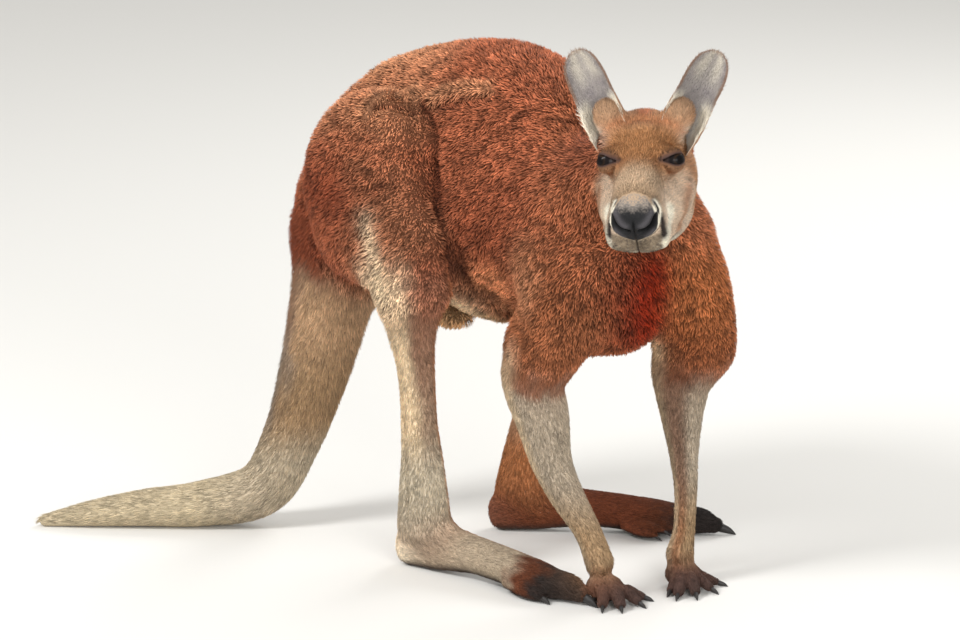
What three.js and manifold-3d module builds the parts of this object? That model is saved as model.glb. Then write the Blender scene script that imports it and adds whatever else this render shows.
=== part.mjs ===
// A life-size male red kangaroo standing on all fours, its body curved and its head turned to its right.
// Millimetres, +Z up, +X from tail to chest along the hips, +Y to the animal's left.
// The outer surface is the outline of the coat. The body is one smooth solid, parted by thin flat cuts.
import * as THREE from "three";
import Module from "manifold-3d";

const wasm = await Module();
wasm.setup();

// ---------------------------------------------------------------- driving dimensions
const GAP = 0.4; // width of each cut between two parts
const FLOOR = 3; // level at which soles, palms and tail are planed flat

const v = (x, y, z) => new THREE.Vector3(x, y, z);
const UP = v(0, 0, 1);

// ---------------------------------------------------------------- implicit shapes
// Each shape has near(x, y, z), roughly the distance to its surface, negative inside,
// and centre and reach, a ball that holds it.

// A limb of elliptical sections along a smooth curve. Each station is [point, half width, half depth].
// The half width is measured along `side`, or level across the curve when side is null.
// A pear shape narrows the top of each section and widens its foot by that share.
function tube(side, ...stations) {
  const pear = side === null && typeof stations[0] === "number" ? stations.shift() : 0;
  const curve = new THREE.CatmullRomCurve3(stations.map((s) => s[0]), false, "centripetal");
  const size = (k) => new THREE.CatmullRomCurve3(stations.map((s) => v(s[k], 0, 0)));
  const wide = size(1),
    deep = size(2);
  const steps = (stations.length - 1) * 5;
  const rows = [];
  for (let i = 0; i <= steps; i++) {
    const t = i / steps;
    const along = curve.getTangent(t);
    const across = (side ?? UP.clone().cross(along)).clone();
    across.addScaledVector(along, -across.dot(along)).normalize();
    const deepWay = along.clone().cross(across);
    rows.push([...curve.getPoint(t), ...across, ...deepWay, wide.getPoint(t).x, deep.getPoint(t).x]);
  }
  const middle = curve.getPoint(0.5);
  const reaches = rows.map((r) => middle.distanceTo(v(r[0], r[1], r[2])) + Math.max(r[9], r[10]));
  return {
    centre: middle,
    reach: Math.max(...reaches),
    near(x, y, z) {
      let best = Infinity;
      for (let i = 0; i < steps; i++) {
        const p = rows[i],
          q = rows[i + 1];
        const sx = q[0] - p[0],
          sy = q[1] - p[1],
          sz = q[2] - p[2];
        const dx = x - p[0],
          dy = y - p[1],
          dz = z - p[2];
        const t = Math.min(1, Math.max(0, (dx * sx + dy * sy + dz * sz) / (sx * sx + sy * sy + sz * sz)));
        const at = (k) => p[k] + (q[k] - p[k]) * t;
        const ox = dx - sx * t,
          oy = dy - sy * t,
          oz = dz - sz * t;
        const across = ox * at(3) + oy * at(4) + oz * at(5);
        const through = ox * at(6) + oy * at(7) + oz * at(8);
        const b = at(10),
          a = at(9) * (1 - pear * Math.max(-1, Math.min(1, through / b))),
          c = Math.min(a, b);
        const length2 = ox * ox + oy * oy + oz * oz;
        const beyond2 = Math.max(0, length2 - across * across - through * through);
        const q2 = (across / a) ** 2 + (through / b) ** 2 + beyond2 / (c * c);
        const d = q2 > 1e-8 ? Math.sqrt(length2) * (1 - 1 / Math.sqrt(q2)) : -c;
        if (d < best) best = d;
      }
      return best;
    },
  };
}

// An ellipsoid with the given half sizes along the three columns of `frame`.
function blob(centre, half, frame = new THREE.Matrix4()) {
  const m = frame.elements;
  return {
    centre,
    reach: Math.max(...half),
    near(x, y, z) {
      const dx = x - centre.x,
        dy = y - centre.y,
        dz = z - centre.z;
      const a = (dx * m[0] + dy * m[1] + dz * m[2]) / half[0];
      const b = (dx * m[4] + dy * m[5] + dz * m[6]) / half[1];
      const c = (dx * m[8] + dy * m[9] + dz * m[10]) / half[2];
      const q = Math.sqrt(a * a + b * b + c * c);
      const length = Math.hypot(dx, dy, dz);
      return q > 1e-4 ? length * (1 - 1 / q) : -Math.min(...half);
    },
  };
}

// Smooth union of [shape, blend] pairs. A blend is the width over which a shape melts into those before it.
function union(...pairs) {
  return (x, y, z) => {
    let f = 1e4;
    for (const [shape, blend] of pairs) {
      const { centre, reach } = shape;
      if (Math.hypot(x - centre.x, y - centre.y, z - centre.z) - reach > f + blend) continue;
      const d = shape.near(x, y, z);
      const h = Math.max(0, blend - Math.abs(f - d)) / blend;
      f = Math.min(f, d) - (h * h * blend) / 4;
    }
    return f;
  };
}

// ---------------------------------------------------------------- turning an implicit shape into a mesh
// Each grid cell that the surface crosses gets a vertex, the four round each crossed edge are joined,
// and all are pulled onto the surface. Two lobes that meet in one cell get a vertex each.
function polygonise(field, low, high, cell, slack) {
  const n = [0, 1, 2].map((k) => Math.ceil((high[k] - low[k]) / cell) + 1);
  const at = (i, j, k) => i + n[0] * (j + n[1] * k);
  const probe = (i, j, k) => field(low[0] + i * cell, low[1] + j * cell, low[2] + k * cell);
  const value = new Float32Array(n[0] * n[1] * n[2]);
  const BLOCK = 4;
  for (let k0 = 0; k0 < n[2]; k0 += BLOCK)
    for (let j0 = 0; j0 < n[1]; j0 += BLOCK)
      for (let i0 = 0; i0 < n[0]; i0 += BLOCK) {
        const half = (BLOCK - 1) / 2;
        const middle = probe(i0 + half, j0 + half, k0 + half);
        const far = Math.abs(middle) > 3 * BLOCK * cell;
        for (let k = k0; k < Math.min(k0 + BLOCK, n[2]); k++)
          for (let j = j0; j < Math.min(j0 + BLOCK, n[1]); j++)
            for (let i = i0; i < Math.min(i0 + BLOCK, n[0]); i++)
              value[at(i, j, k)] = far ? middle : probe(i, j, k);
      }

  const points = [];
  const vertex = new Map();
  const CORNERS = [0, 1, 2, 3, 4, 5, 6, 7];
  const WAYS = [1, 2, 4];
  for (let k = 0; k < n[2] - 1; k++)
    for (let j = 0; j < n[1] - 1; j++)
      for (let i = 0; i < n[0] - 1; i++) {
        const f = CORNERS.map((c) => value[at(i + (c & 1), j + ((c >> 1) & 1), k + (c >> 2))]);
        if (f.every((one) => one < 0) || f.every((one) => one >= 0)) continue;
        for (let seed = 0; seed < 8; seed++) {
          if (f[seed] >= 0 || vertex.has(at(i, j, k) * 8 + seed)) continue;
          const sum = [0, 0, 0];
          let crossings = 0;
          const lobe = [seed];
          for (const c of lobe) {
            vertex.set(at(i, j, k) * 8 + c, points.length);
            for (const [axis, bit] of WAYS.entries()) {
              const d = c ^ bit;
              if (f[d] < 0) {
                if (!lobe.includes(d)) lobe.push(d);
                continue;
              }
              const t = f[c] / (f[c] - f[d]);
              for (let m = 0; m < 3; m++) sum[m] += (c >> m) & 1;
              sum[axis] += d & bit ? t : -t;
              crossings++;
            }
          }
          points.push([i, j, k].map((index, m) => low[m] + (index + sum[m] / crossings) * cell));
        }
      }

  const faces = [];
  for (let k = 1; k < n[2] - 1; k++)
    for (let j = 1; j < n[1] - 1; j++)
      for (let i = 1; i < n[0] - 1; i++)
        for (let axis = 0; axis < 3; axis++) {
          const step = [0, 0, 0];
          step[axis] = 1;
          const inside = value[at(i, j, k)] < 0;
          if (inside === value[at(i + step[0], j + step[1], k + step[2])] < 0) continue;
          const one = (axis + 1) % 3,
            two = (axis + 2) % 3;
          const corner = (a, b) => {
            const c = [i, j, k];
            c[one] -= a;
            c[two] -= b;
            return vertex.get(at(...c) * 8 + ((a << one) | (b << two) | ((inside ? 0 : 1) << axis)));
          };
          const ring = [corner(1, 1), corner(0, 1), corner(0, 0), corner(1, 0)];
          if (!inside) ring.reverse();
          faces.push(ring);
        }

  const slope = 0.5;
  for (let round = 0; round < 3; round++)
    for (const p of points) {
      const f = field(...p);
      const g = [0, 1, 2].map((c) => {
        const q = p.slice();
        q[c] += slope;
        return (field(...q) - f) / slope;
      });
      const length2 = g[0] ** 2 + g[1] ** 2 + g[2] ** 2;
      const pull = Math.max(-0.5 * cell, Math.min(0.5 * cell, f / Math.max(0.3, length2)));
      for (let c = 0; c < 3; c++) p[c] -= g[c] * pull;
    }

  const apart = (a, b) => Math.hypot(...points[a].map((k, c) => k - points[b][c]));
  const split = ([a, b, c, d]) => (apart(a, c) < apart(b, d) ? [a, b, c, a, c, d] : [a, b, d, b, c, d]);
  const triangles = faces.flatMap(split);
  return thin(points, triangles, slack);
}

// Thins a mesh: the edges whose loss moves the surface least go first, while it moves less than `slack`.
function thin(points, triangles, slack) {
  const quadric = points.map(() => new Float64Array(10));
  const sub = (a, b) => [a[0] - b[0], a[1] - b[1], a[2] - b[2]];
  const cross = (a, b) => [a[1] * b[2] - a[2] * b[1], a[2] * b[0] - a[0] * b[2], a[0] * b[1] - a[1] * b[0]];
  const dot = (a, b) => a[0] * b[0] + a[1] * b[1] + a[2] * b[2];
  const normal = ([a, b, c]) => cross(sub(b, a), sub(c, a));
  let faces = [];
  for (let t = 0; t < triangles.length; t += 3) faces.push(triangles.slice(t, t + 3));
  for (const face of faces) {
    const n = normal(face.map((i) => points[i]));
    const area = Math.hypot(...n) || 1e-9;
    const [a, b, c] = n.map((k) => k / area);
    const d = -dot([a, b, c], points[face[0]]);
    const terms = [a * a, a * b, a * c, a * d, b * b, b * c, b * d, c * c, c * d, d * d];
    for (const i of face) terms.forEach((term, k) => (quadric[i][k] += term / 3));
  }
  const cost = (i, j, [x, y, z]) => {
    const [aa, ab, ac, ad, bb, bc, bd, cc, cd, dd] = quadric[i].map((term, k) => term + quadric[j][k]);
    const cross2 = 2 * (ab * x * y + ac * x * z + ad * x + bc * y * z + bd * y + cd * z);
    return aa * x * x + bb * y * y + cc * z * z + cross2 + dd;
  };
  for (let round = 0; round < 30; round++) {
    const around = points.map(() => []);
    for (const face of faces) for (const i of face) around[i].push(face);
    const edges = [];
    for (const [a, b, c] of faces)
      for (const [i, j] of [[a, b], [b, c], [c, a]]) {
        if (i > j) continue;
        const [p, q] = [points[i], points[j]];
        const spots = [p, q, p.map((k, axis) => (k + q[axis]) / 2)];
        const prices = spots.map((spot) => cost(i, j, spot) + 2e-5 * dot(sub(p, q), sub(p, q)));
        const best = prices.indexOf(Math.min(...prices));
        if (prices[best] < slack * slack) edges.push([prices[best], i, j, spots[best]]);
      }
    edges.sort((one, other) => one[0] - other[0]);
    const busy = new Set();
    let lost = 0;
    for (const [, i, j, spot] of edges.slice(0, Math.ceil(edges.length / 3))) {
      const ring = new Set();
      const shared = new Set();
      for (const k of around[i].flat()) ring.add(k);
      for (const k of around[j].flat()) if (k !== i && k !== j && ring.has(k)) shared.add(k);
      for (const k of around[j].flat()) ring.add(k);
      if (shared.size !== 2 || [...ring].some((k) => busy.has(k))) continue;
      const turns = [...around[i], ...around[j]].some((face) => {
        if (face.includes(i) && face.includes(j)) return false;
        const before = normal(face.map((k) => points[k]));
        const after = normal(face.map((k) => (k === i || k === j ? spot : points[k])));
        return dot(before, after) < 0.5 * Math.hypot(...before) * Math.hypot(...after);
      });
      if (turns) continue;
      points[i] = spot;
      quadric[j].forEach((term, k) => (quadric[i][k] += term));
      for (const face of around[j]) face[face.indexOf(j)] = i;
      ring.forEach((k) => busy.add(k));
      lost++;
    }
    faces = faces.filter(([a, b, c]) => a !== b && b !== c && c !== a);
    if (!lost) break;
  }
  return meshSolid(points.flat(), faces.flat());
}

// ---------------------------------------------------------------- solids
function meshSolid(points, triangles) {
  const vertProperties = new Float32Array(points);
  const triVerts = new Uint32Array(triangles);
  return new wasm.Manifold(new wasm.Mesh({ numProp: 3, vertProperties, triVerts }));
}

function geometryOf(solid) {
  const mesh = solid.getMesh();
  return new THREE.BufferGeometry()
    .setAttribute("position", new THREE.BufferAttribute(new Float32Array(mesh.vertProperties), 3))
    .setIndex(new THREE.BufferAttribute(new Uint32Array(mesh.triVerts), 1));
}

// A solid box: centre, half sizes, and the turn of its axes.
function box(centre, half, turn = new THREE.Matrix4(), grow = 0) {
  const corners = [];
  for (let i = 0; i < 8; i++) {
    const corner = v(...[0, 1, 2].map((k) => (i >> k & 1 ? 1 : -1) * (half[k] + grow)));
    corners.push(...corner.applyMatrix4(turn).add(centre));
  }
  const quads = [0, 2, 3, 1, 4, 5, 7, 6, 0, 1, 5, 4, 2, 6, 7, 3, 0, 4, 6, 2, 1, 3, 7, 5];
  const triangles = [];
  for (let q = 0; q < 24; q += 4) {
    const [a, b, c, d] = quads.slice(q, q + 4);
    triangles.push(a, b, c, a, c, d);
  }
  return meshSolid(corners, triangles);
}

// A closed solid wound from rings of points, each ring having the same number, capped at both ends.
function wound(rings) {
  const n = rings[0].length;
  const middle = (ring) => ring.reduce((sum, p) => sum.add(p), v(0, 0, 0)).divideScalar(n);
  const points = rings.flat().concat(middle(rings[0]), middle(rings[rings.length - 1]));
  const triangles = [];
  for (let r = 0; r < rings.length - 1; r++)
    for (let i = 0; i < n; i++) {
      const a = r * n + i,
        b = r * n + ((i + 1) % n);
      triangles.push(a, b, a + n, b, b + n, a + n);
    }
  const last = (rings.length - 1) * n;
  for (let i = 0; i < n; i++) {
    triangles.push(rings.length * n, (i + 1) % n, i);
    triangles.push(rings.length * n + 1, last + i, last + ((i + 1) % n));
  }
  return meshSolid(points.flatMap((p) => [...p]), triangles);
}

// A ball with a fixed number of sides.
function ball(centre, radius) {
  const rings = [];
  const rows = 7,
    sides = 10;
  for (let r = 0; r <= rows; r++) {
    const a = Math.PI * Math.min(0.97, Math.max(0.03, r / rows));
    rings.push(
      Array.from({ length: sides }, (_, i) => {
        const b = (2 * Math.PI * i) / sides;
        const outward = v(Math.sin(a) * Math.cos(b), Math.sin(a) * Math.sin(b), -Math.cos(a));
        return outward.multiplyScalar(radius).add(centre);
      }),
    );
  }
  return wound(rings);
}

// A claw from its root to its tip, arched upwards by half its radius.
function claw(root, tip, radius, grow = 0) {
  const bend = root.clone().lerp(tip, 0.55).addScaledVector(UP, radius / 2);
  const curve = new THREE.QuadraticBezierCurve3(root, bend, tip);
  const rings = [0, 0.6, 1].map((t, k) => {
    const along = curve.getTangent(t);
    const across = UP.clone().cross(along).normalize();
    const over = along.clone().cross(across);
    const r = radius * [1, 0.75, 0.12][k] + grow;
    const centre = curve.getPoint(t).addScaledVector(along, t === 0 ? -grow : t === 1 ? grow : 0);
    return Array.from({ length: 6 }, (_, i) => {
      const a = (2 * Math.PI * i) / 6;
      const side = centre.clone().addScaledVector(across, 0.8 * r * Math.cos(a));
      return side.addScaledVector(over, r * Math.sin(a));
    });
  });
  return wound(rings);
}

// ---------------------------------------------------------------- trunk, neck and tail
const LEFT = v(0, 1, 0);
const trunk = [
  [
    tube(
      null,
      0.22,
      [v(-214, 20, 470), 88, 90],
      [v(-186, 28, 542), 108, 122],
      [v(-130, 34, 576), 126, 163],
      [v(-50, 33, 580), 144, 197],
      [v(50, 17, 574), 154, 210],
      [v(130, -12, 560), 144, 194],
      [v(190, -46, 528), 122, 158],
      [v(238, -76, 485), 104, 124],
    ),
    1,
  ],
  [blob(v(268, -78, 432), [62, 62, 62]), 40],
  [blob(v(-58, 25, 362), [38, 31, 27]), 22],
];
const neck = [
  [tube(null, [v(208, -56, 575), 108, 92], [v(262, -84, 622), 100, 74], [v(308, -104, 660), 84, 62]), 40],
];
const tail = [
  [
    tube(
      null,
      [v(-235, 25, 470), 78, 84],
      [v(-262, 20, 360), 66, 68],
      [v(-293, 14, 238), 53, 56],
      [v(-326, 5, 138), 45, 47],
      [v(-366, -14, 63), 42, 44],
      [v(-448, -56, 37), 38, 37],
      [v(-520, -95, 31), 32, 31],
      [v(-589, -134, 23), 23, 23],
      [v(-655, -170, 12), 12, 12],
    ),
    60,
  ],
];

// ---------------------------------------------------------------- hind limbs
// Each foot is laid out from the back of its heel: forwards, outwards and up.
const FOOT = {
  right: { heel: v(-97, -80, 0), angle: -11.5, out: -1 },
  left: { heel: v(-62, 132, 0), angle: 22.5, out: 1 },
};
function onFoot(s, x, y, z) {
  const { heel, angle, out } = FOOT[s];
  return v(x, y * out, z).applyAxisAngle(UP, (angle * Math.PI) / 180).add(heel);
}
const footSide = (s) => onFoot(s, 0, 1, 0).sub(FOOT[s].heel);
const footShape = (s) => {
  const at = (x, y, z) => onFoot(s, x, y, z);
  return [
    [
      tube(
        footSide(s),
        [at(29, 0, 29), 25, 29],
        [at(80, 0, 40), 27, 38],
        [at(150, 0, 40), 26, 30],
        [at(215, 1, 34), 29, 28],
        [at(270, 2, 27), 34, 26],
        [at(300, 2, 22), 28, 20],
      ),
      22,
    ],
  ];
};
// Toes: root, knuckle, end of the flesh and tip of the claw, then the radius at the root, at the end
// and of the claw.
const toes = (s) =>
  [
    [[280, 0, 26], [322, 0, 24], [346, 0, 18], [377, 0, 5], 22, 15, 8],
    [[235, 22, 22], [272, 32, 18], [296, 33, 14], [316, 33, 5], 15, 11, 5.5],
    [[225, -26, 26], [252, -36, 24], [270, -37, 19], [283, -38, 10], 10, 7, 3.2],
    [[215, -28, 22], [240, -42, 17], [258, -45, 13], [270, -47, 5], 10, 7, 3.2],
  ].map((toe) => toe.map((p) => (Array.isArray(p) ? onFoot(s, ...p) : p)));
const toeShapes = (s) =>
  toes(s).map(([a, b, c, , r, q]) => [tube(footSide(s), [a, r, r], [b, r, r], [c, q, q]), 8]);

const hind = {
  right: [
    [blob(v(-128, -78, 568), [120, 80, 148]), 30],
    [
      tube(LEFT, [v(-110, -108, 530), 66, 108], [v(-48, -146, 490), 54, 82], [v(-26, -160, 440), 44, 60]),
      40,
    ],
    [
      tube(
        LEFT,
        [v(-28, -160, 440), 42, 60],
        [v(-32, -151, 377), 33, 42],
        [v(-31, -141, 321), 27, 31],
        [v(-33, -130, 240), 24, 31],
        [v(-33, -119, 174), 23, 36],
        [v(-36, -108, 114), 24, 42],
        [v(-40, -98, 69), 27, 46],
      ),
      25,
    ],
    ...footShape("right"),
  ],
  left: [
    [blob(v(-103, 133, 568), [120, 80, 148]), 30],
    [tube(LEFT, [v(-80, 165, 530), 66, 108], [v(0, 200, 490), 54, 82], [v(26, 212, 440), 44, 60]), 40],
    [
      tube(
        LEFT,
        [v(26, 212, 440), 42, 60],
        [v(22, 200, 377), 33, 42],
        [v(18, 188, 321), 27, 31],
        [v(10, 174, 240), 24, 31],
        [v(4, 164, 174), 23, 36],
        [v(-3, 156, 114), 24, 42],
        [v(-8, 152, 69), 27, 46],
      ),
      25,
    ],
    ...footShape("left"),
  ],
};

// ---------------------------------------------------------------- forelimbs
const fore = {
  right: [
    [tube(LEFT, [v(212, -132, 490), 60, 78], [v(206, -148, 433), 58, 62], [v(179, -146, 376), 48, 54]), 45],
    [
      tube(
        LEFT,
        [v(179, -146, 376), 46, 54],
        [v(160, -136, 322), 44, 48],
        [v(171, -131, 267), 37, 42],
        [v(185, -129, 205), 28, 33],
        [v(205, -123, 158), 24, 28],
        [v(236, -113, 102), 21, 22],
        [v(254, -110, 58), 24, 22],
      ),
      30,
    ],
  ],
  left: [
    [
      tube(
        LEFT,
        [v(300, -72, 615), 60, 60],
        [v(332, -28, 540), 54, 58],
        [v(351, 2, 425), 58, 60],
        [v(344, 12, 367), 50, 58],
      ),
      45,
    ],
    [
      tube(
        LEFT,
        [v(344, 12, 367), 48, 56],
        [v(326, 13, 315), 43, 47],
        [v(324, 13, 269), 32, 36],
        [v(327, 14, 208), 22, 25],
        [v(331, 15, 147), 18, 19],
        [v(330, 13, 87), 17, 18],
        [v(326, 8, 50), 23, 22],
      ),
      30,
    ],
  ],
};

// Fingers: root, knuckle, end of the flesh, tip of the claw, radius.
const fingers = {
  right: [
    [[258, -116, 20], [258, -126, 18], [261, -137, 12], [261, -149, 4], 8],
    [[268, -124, 22], [277, -142, 21], [285, -161, 12], [292, -176, 4], 11],
    [[276, -120, 22], [294, -135, 22], [308, -150, 12], [318, -164, 4], 11.5],
    [[278, -114, 20], [300, -116, 20], [320, -121, 11], [337, -126, 4], 10],
    [[276, -108, 18], [296, -100, 17], [314, -94, 10], [331, -90, 4], 9],
  ],
  left: [
    [[330, -2, 20], [334, -22, 19], [338, -46, 11], [340, -62, 4], 9],
    [[334, -4, 22], [346, -28, 21], [355, -56, 12], [360, -73, 4], 11],
    [[338, -2, 22], [358, -20, 21], [374, -40, 12], [385, -55, 4], 11],
    [[340, 2, 20], [362, -4, 19], [382, -10, 11], [399, -14, 4], 10],
    [[338, 8, 18], [358, 14, 17], [376, 22, 10], [393, 28, 4], 9],
  ],
};
const handShape = (s) => [
  [blob(s === "left" ? v(335, 0, 22) : v(266, -114, 22), [28, 24, 21]), 14],
  ...fingers[s].map(([a, b, c, , r]) => [
    tube(UP, [v(...a), r, r], [v(...b), r, r], [v(...c), 0.8 * r, 0.8 * r]),
    5,
  ]),
];

// ---------------------------------------------------------------- head
const EYES = v(360, -199, 680); // midway between the eyes
const [ROLL, PITCH, HEADING] = [3, 18, -70].map((angle) => (angle * Math.PI) / 180);
const headTurn = new THREE.Matrix4().makeRotationFromEuler(new THREE.Euler(ROLL, PITCH, HEADING, "ZYX"));
// A point of the head: forwards along the face, to the animal's left, and upwards, from between the eyes.
const H = (x, y, z) => v(x, y, z).applyMatrix4(headTurn).add(EYES);
const headWay = (x, y, z) => v(x, y, z).applyMatrix4(headTurn);
const headSide = headWay(0, 1, 0);
const EYE = { x: 2, y: 45, z: 0, r: 16 };
// An ear's root, its direction, the way it opens and the way across it; side is 1 for left, -1 for right.
function earAxes(side) {
  const root = H(-75, 50 * side, 13);
  const tip = H(-100, side > 0 ? 111 : -96, 121);
  const along = tip.clone().sub(root).normalize();
  const open = headWay(0.95, 0.1 * side, 0.4);
  open.addScaledVector(along, -open.dot(along)).normalize();
  return { root, along, open, across: open.clone().cross(along) };
}
const head = [
  [blob(H(-58, 0, -16), [62, 60, 55], headTurn), 30],
  [
    tube(
      headSide,
      [H(-15, 0, -12), 42, 36],
      [H(30, 0, -17), 37, 34],
      [H(65, 0, -25), 36, 31],
      [H(92, 0, -31), 34, 30],
    ),
    24,
  ],
  [
    tube(
      headSide,
      [H(-58, 0, -62), 72, 52],
      [H(-10, 0, -64), 71, 46],
      [H(38, 0, -62), 61, 37],
      [H(76, 0, -58), 46, 31],
    ),
    24,
  ],
  [
    tube(
      headSide,
      [H(-62, 0, -96), 66, 32],
      [H(-12, 0, -99), 65, 28],
      [H(40, 0, -91), 55, 23],
      [H(76, 0, -82), 37, 18],
    ),
    16,
  ],
  ...[1, -1].flatMap((side) => {
    const { along, open, across } = earAxes(side);
    const mound = new THREE.Matrix4().makeBasis(open, across, along);
    return [
      [blob(H(-64, 49 * side, 31), [22, 25, 33], mound), 20],
      [blob(H(84, 25 * side, -73), [24, 21, 20], headTurn), 12],
    ];
  }),
];

// ---------------------------------------------------------------- ears
const EAR = { length: 118, thickness: 4.4, bed: 17 };
// Along the ear from its root: radius of the rolled leaf and half the angle it wraps.
const earShape = [
  [-0.25, 27, 1.9],
  [-0.08, 29, 1.8],
  [0.1, 30, 1.65],
  [0.28, 30, 1.45],
  [0.46, 30, 1.28],
  [0.64, 31, 1.18],
  [0.78, 31, 1.08],
  [0.88, 30, 0.88],
  [0.95, 28, 0.6],
  [1, 26, 0.2],
];
function ear(side) {
  const { root, along, open, across } = earAxes(side);
  const rings = earShape.map(([t, radius, angle]) => {
    const middle = root.clone().addScaledVector(along, EAR.length * t);
    const at = (a, r) =>
      middle
        .clone()
        .addScaledVector(across, r * Math.sin(a))
        .addScaledVector(open, EAR.bed + 0.05 * radius - r * Math.cos(a));
    const outer = [],
      inner = [];
    const half = EAR.thickness / 2;
    for (let i = 0; i <= 8; i++) {
      const a = angle * (i / 4 - 1);
      const rim = i === 0 || i === 8 ? 0.35 : 1;
      outer.push(at(a, radius + half * rim));
      inner.unshift(at(a, radius - half * rim));
    }
    return outer.concat(inner);
  });
  return wound(rings);
}

// ---------------------------------------------------------------- cutting the body into parts
// A cut is a box on its own axes: centre, half sizes and turn. It starts at `from` and runs along `way`.
function run(from, way, length, wide, high) {
  const along = way.clone().normalize();
  const across = UP.clone().cross(along).normalize();
  const turn = new THREE.Matrix4().makeBasis(along, across, along.clone().cross(across));
  return { centre: from.clone().addScaledVector(along, length / 2), half: [length / 2, wide, high], turn };
}
const upright = (low, high) => ({
  centre: low.clone().add(high).multiplyScalar(0.5),
  half: high.clone().sub(low).multiplyScalar(0.5).toArray(),
  turn: new THREE.Matrix4(),
});
const boxSolid = ({ centre, half, turn }, grow = 0) => box(centre, half, turn, grow);

// The mesh of a field inside a cut, closed a little outside it.
function meshWithin(field, { centre, half, turn }, cell, slack) {
  const margin = 1.6 * cell;
  const back = turn.clone().invert();
  const p = v(0, 0, 0);
  const inside = (x, y, z) => {
    p.set(x - centre.x, y - centre.y, z - centre.z).applyMatrix4(back);
    const out = Math.max(...p.toArray().map((k, axis) => Math.abs(k) - half[axis])) - margin;
    return out > 4 * cell ? out : Math.max(out, field(x, y, z));
  };
  const bounds = new THREE.Box3();
  for (let i = 0; i < 8; i++) {
    const corner = v(...[0, 1, 2].map((k) => (i >> k & 1 ? 1 : -1) * (half[k] + margin + 2 * cell)));
    bounds.expandByPoint(corner.applyMatrix4(turn).add(centre));
  }
  return polygonise(inside, bounds.min.toArray(), bounds.max.toArray(), cell, slack);
}

// ---------------------------------------------------------------- the parts
const looks = {
  coat: { color: 0xb0603a, roughness: 0.95, metalness: 0 },
  pale: { color: 0xc9a98a, roughness: 0.95, metalness: 0 },
  dark: { color: 0x3a2620, roughness: 0.9, metalness: 0 },
  ear: { color: 0xb9ada3, roughness: 0.9, metalness: 0 },
  eye: { color: 0x120d0b, roughness: 0.15, metalness: 0 },
  claw: { color: 0x34302e, roughness: 0.45, metalness: 0 },
};
const group = new THREE.Group();
function add(name, solid, look) {
  const mesh = new THREE.Mesh(geometryOf(solid), new THREE.MeshStandardMaterial(looks[look]));
  mesh.name = name;
  group.add(mesh);
}
const SIDES = ["right", "left"];
const torso = [...trunk, ...neck, ...tail];
const body = union(...torso, ...SIDES.flatMap((s) => [...hind[s], ...fore[s]]), ...head);
const ground = box(v(0, 0, FLOOR - 500), [3000, 3000, 500]);

// Eyes, with the sockets they leave.
const sockets = [];
for (const s of SIDES) {
  const centre = H(EYE.x, EYE.y * (s === "left" ? 1 : -1), EYE.z);
  add(`eye_${s}`, ball(centre, EYE.r), "eye");
  sockets.push(ball(centre, EYE.r + GAP));
}

// Each part of the body is the field inside its cut, less its neighbours' cuts and its own beds.
const cuts = {};
function cutOff(name, field, cut, [cell, slack], look, neighbours = [], beds = []) {
  let solid = meshWithin(field, cut, cell, slack).intersect(boxSolid(cut)).subtract(ground);
  for (const other of neighbours) solid = solid.subtract(boxSolid(cuts[other], GAP));
  for (const bed of beds) solid = solid.subtract(bed);
  cuts[name] = cut;
  add(name, solid, look);
  return solid;
}

const napeCut = run(v(319, -88, 715), v(0.4, -0.85, 0.33), 340, 130, 220);
const skull = cutOff("head", body, napeCut, [9, 3.1], "coat", [], sockets);
const throatCut = run(v(262, -92, 615), v(0.69, -0.465, 0.56), 150, 140, 150);
cutOff("neck", body, throatCut, [16, 9], "coat", ["head"]);

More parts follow.
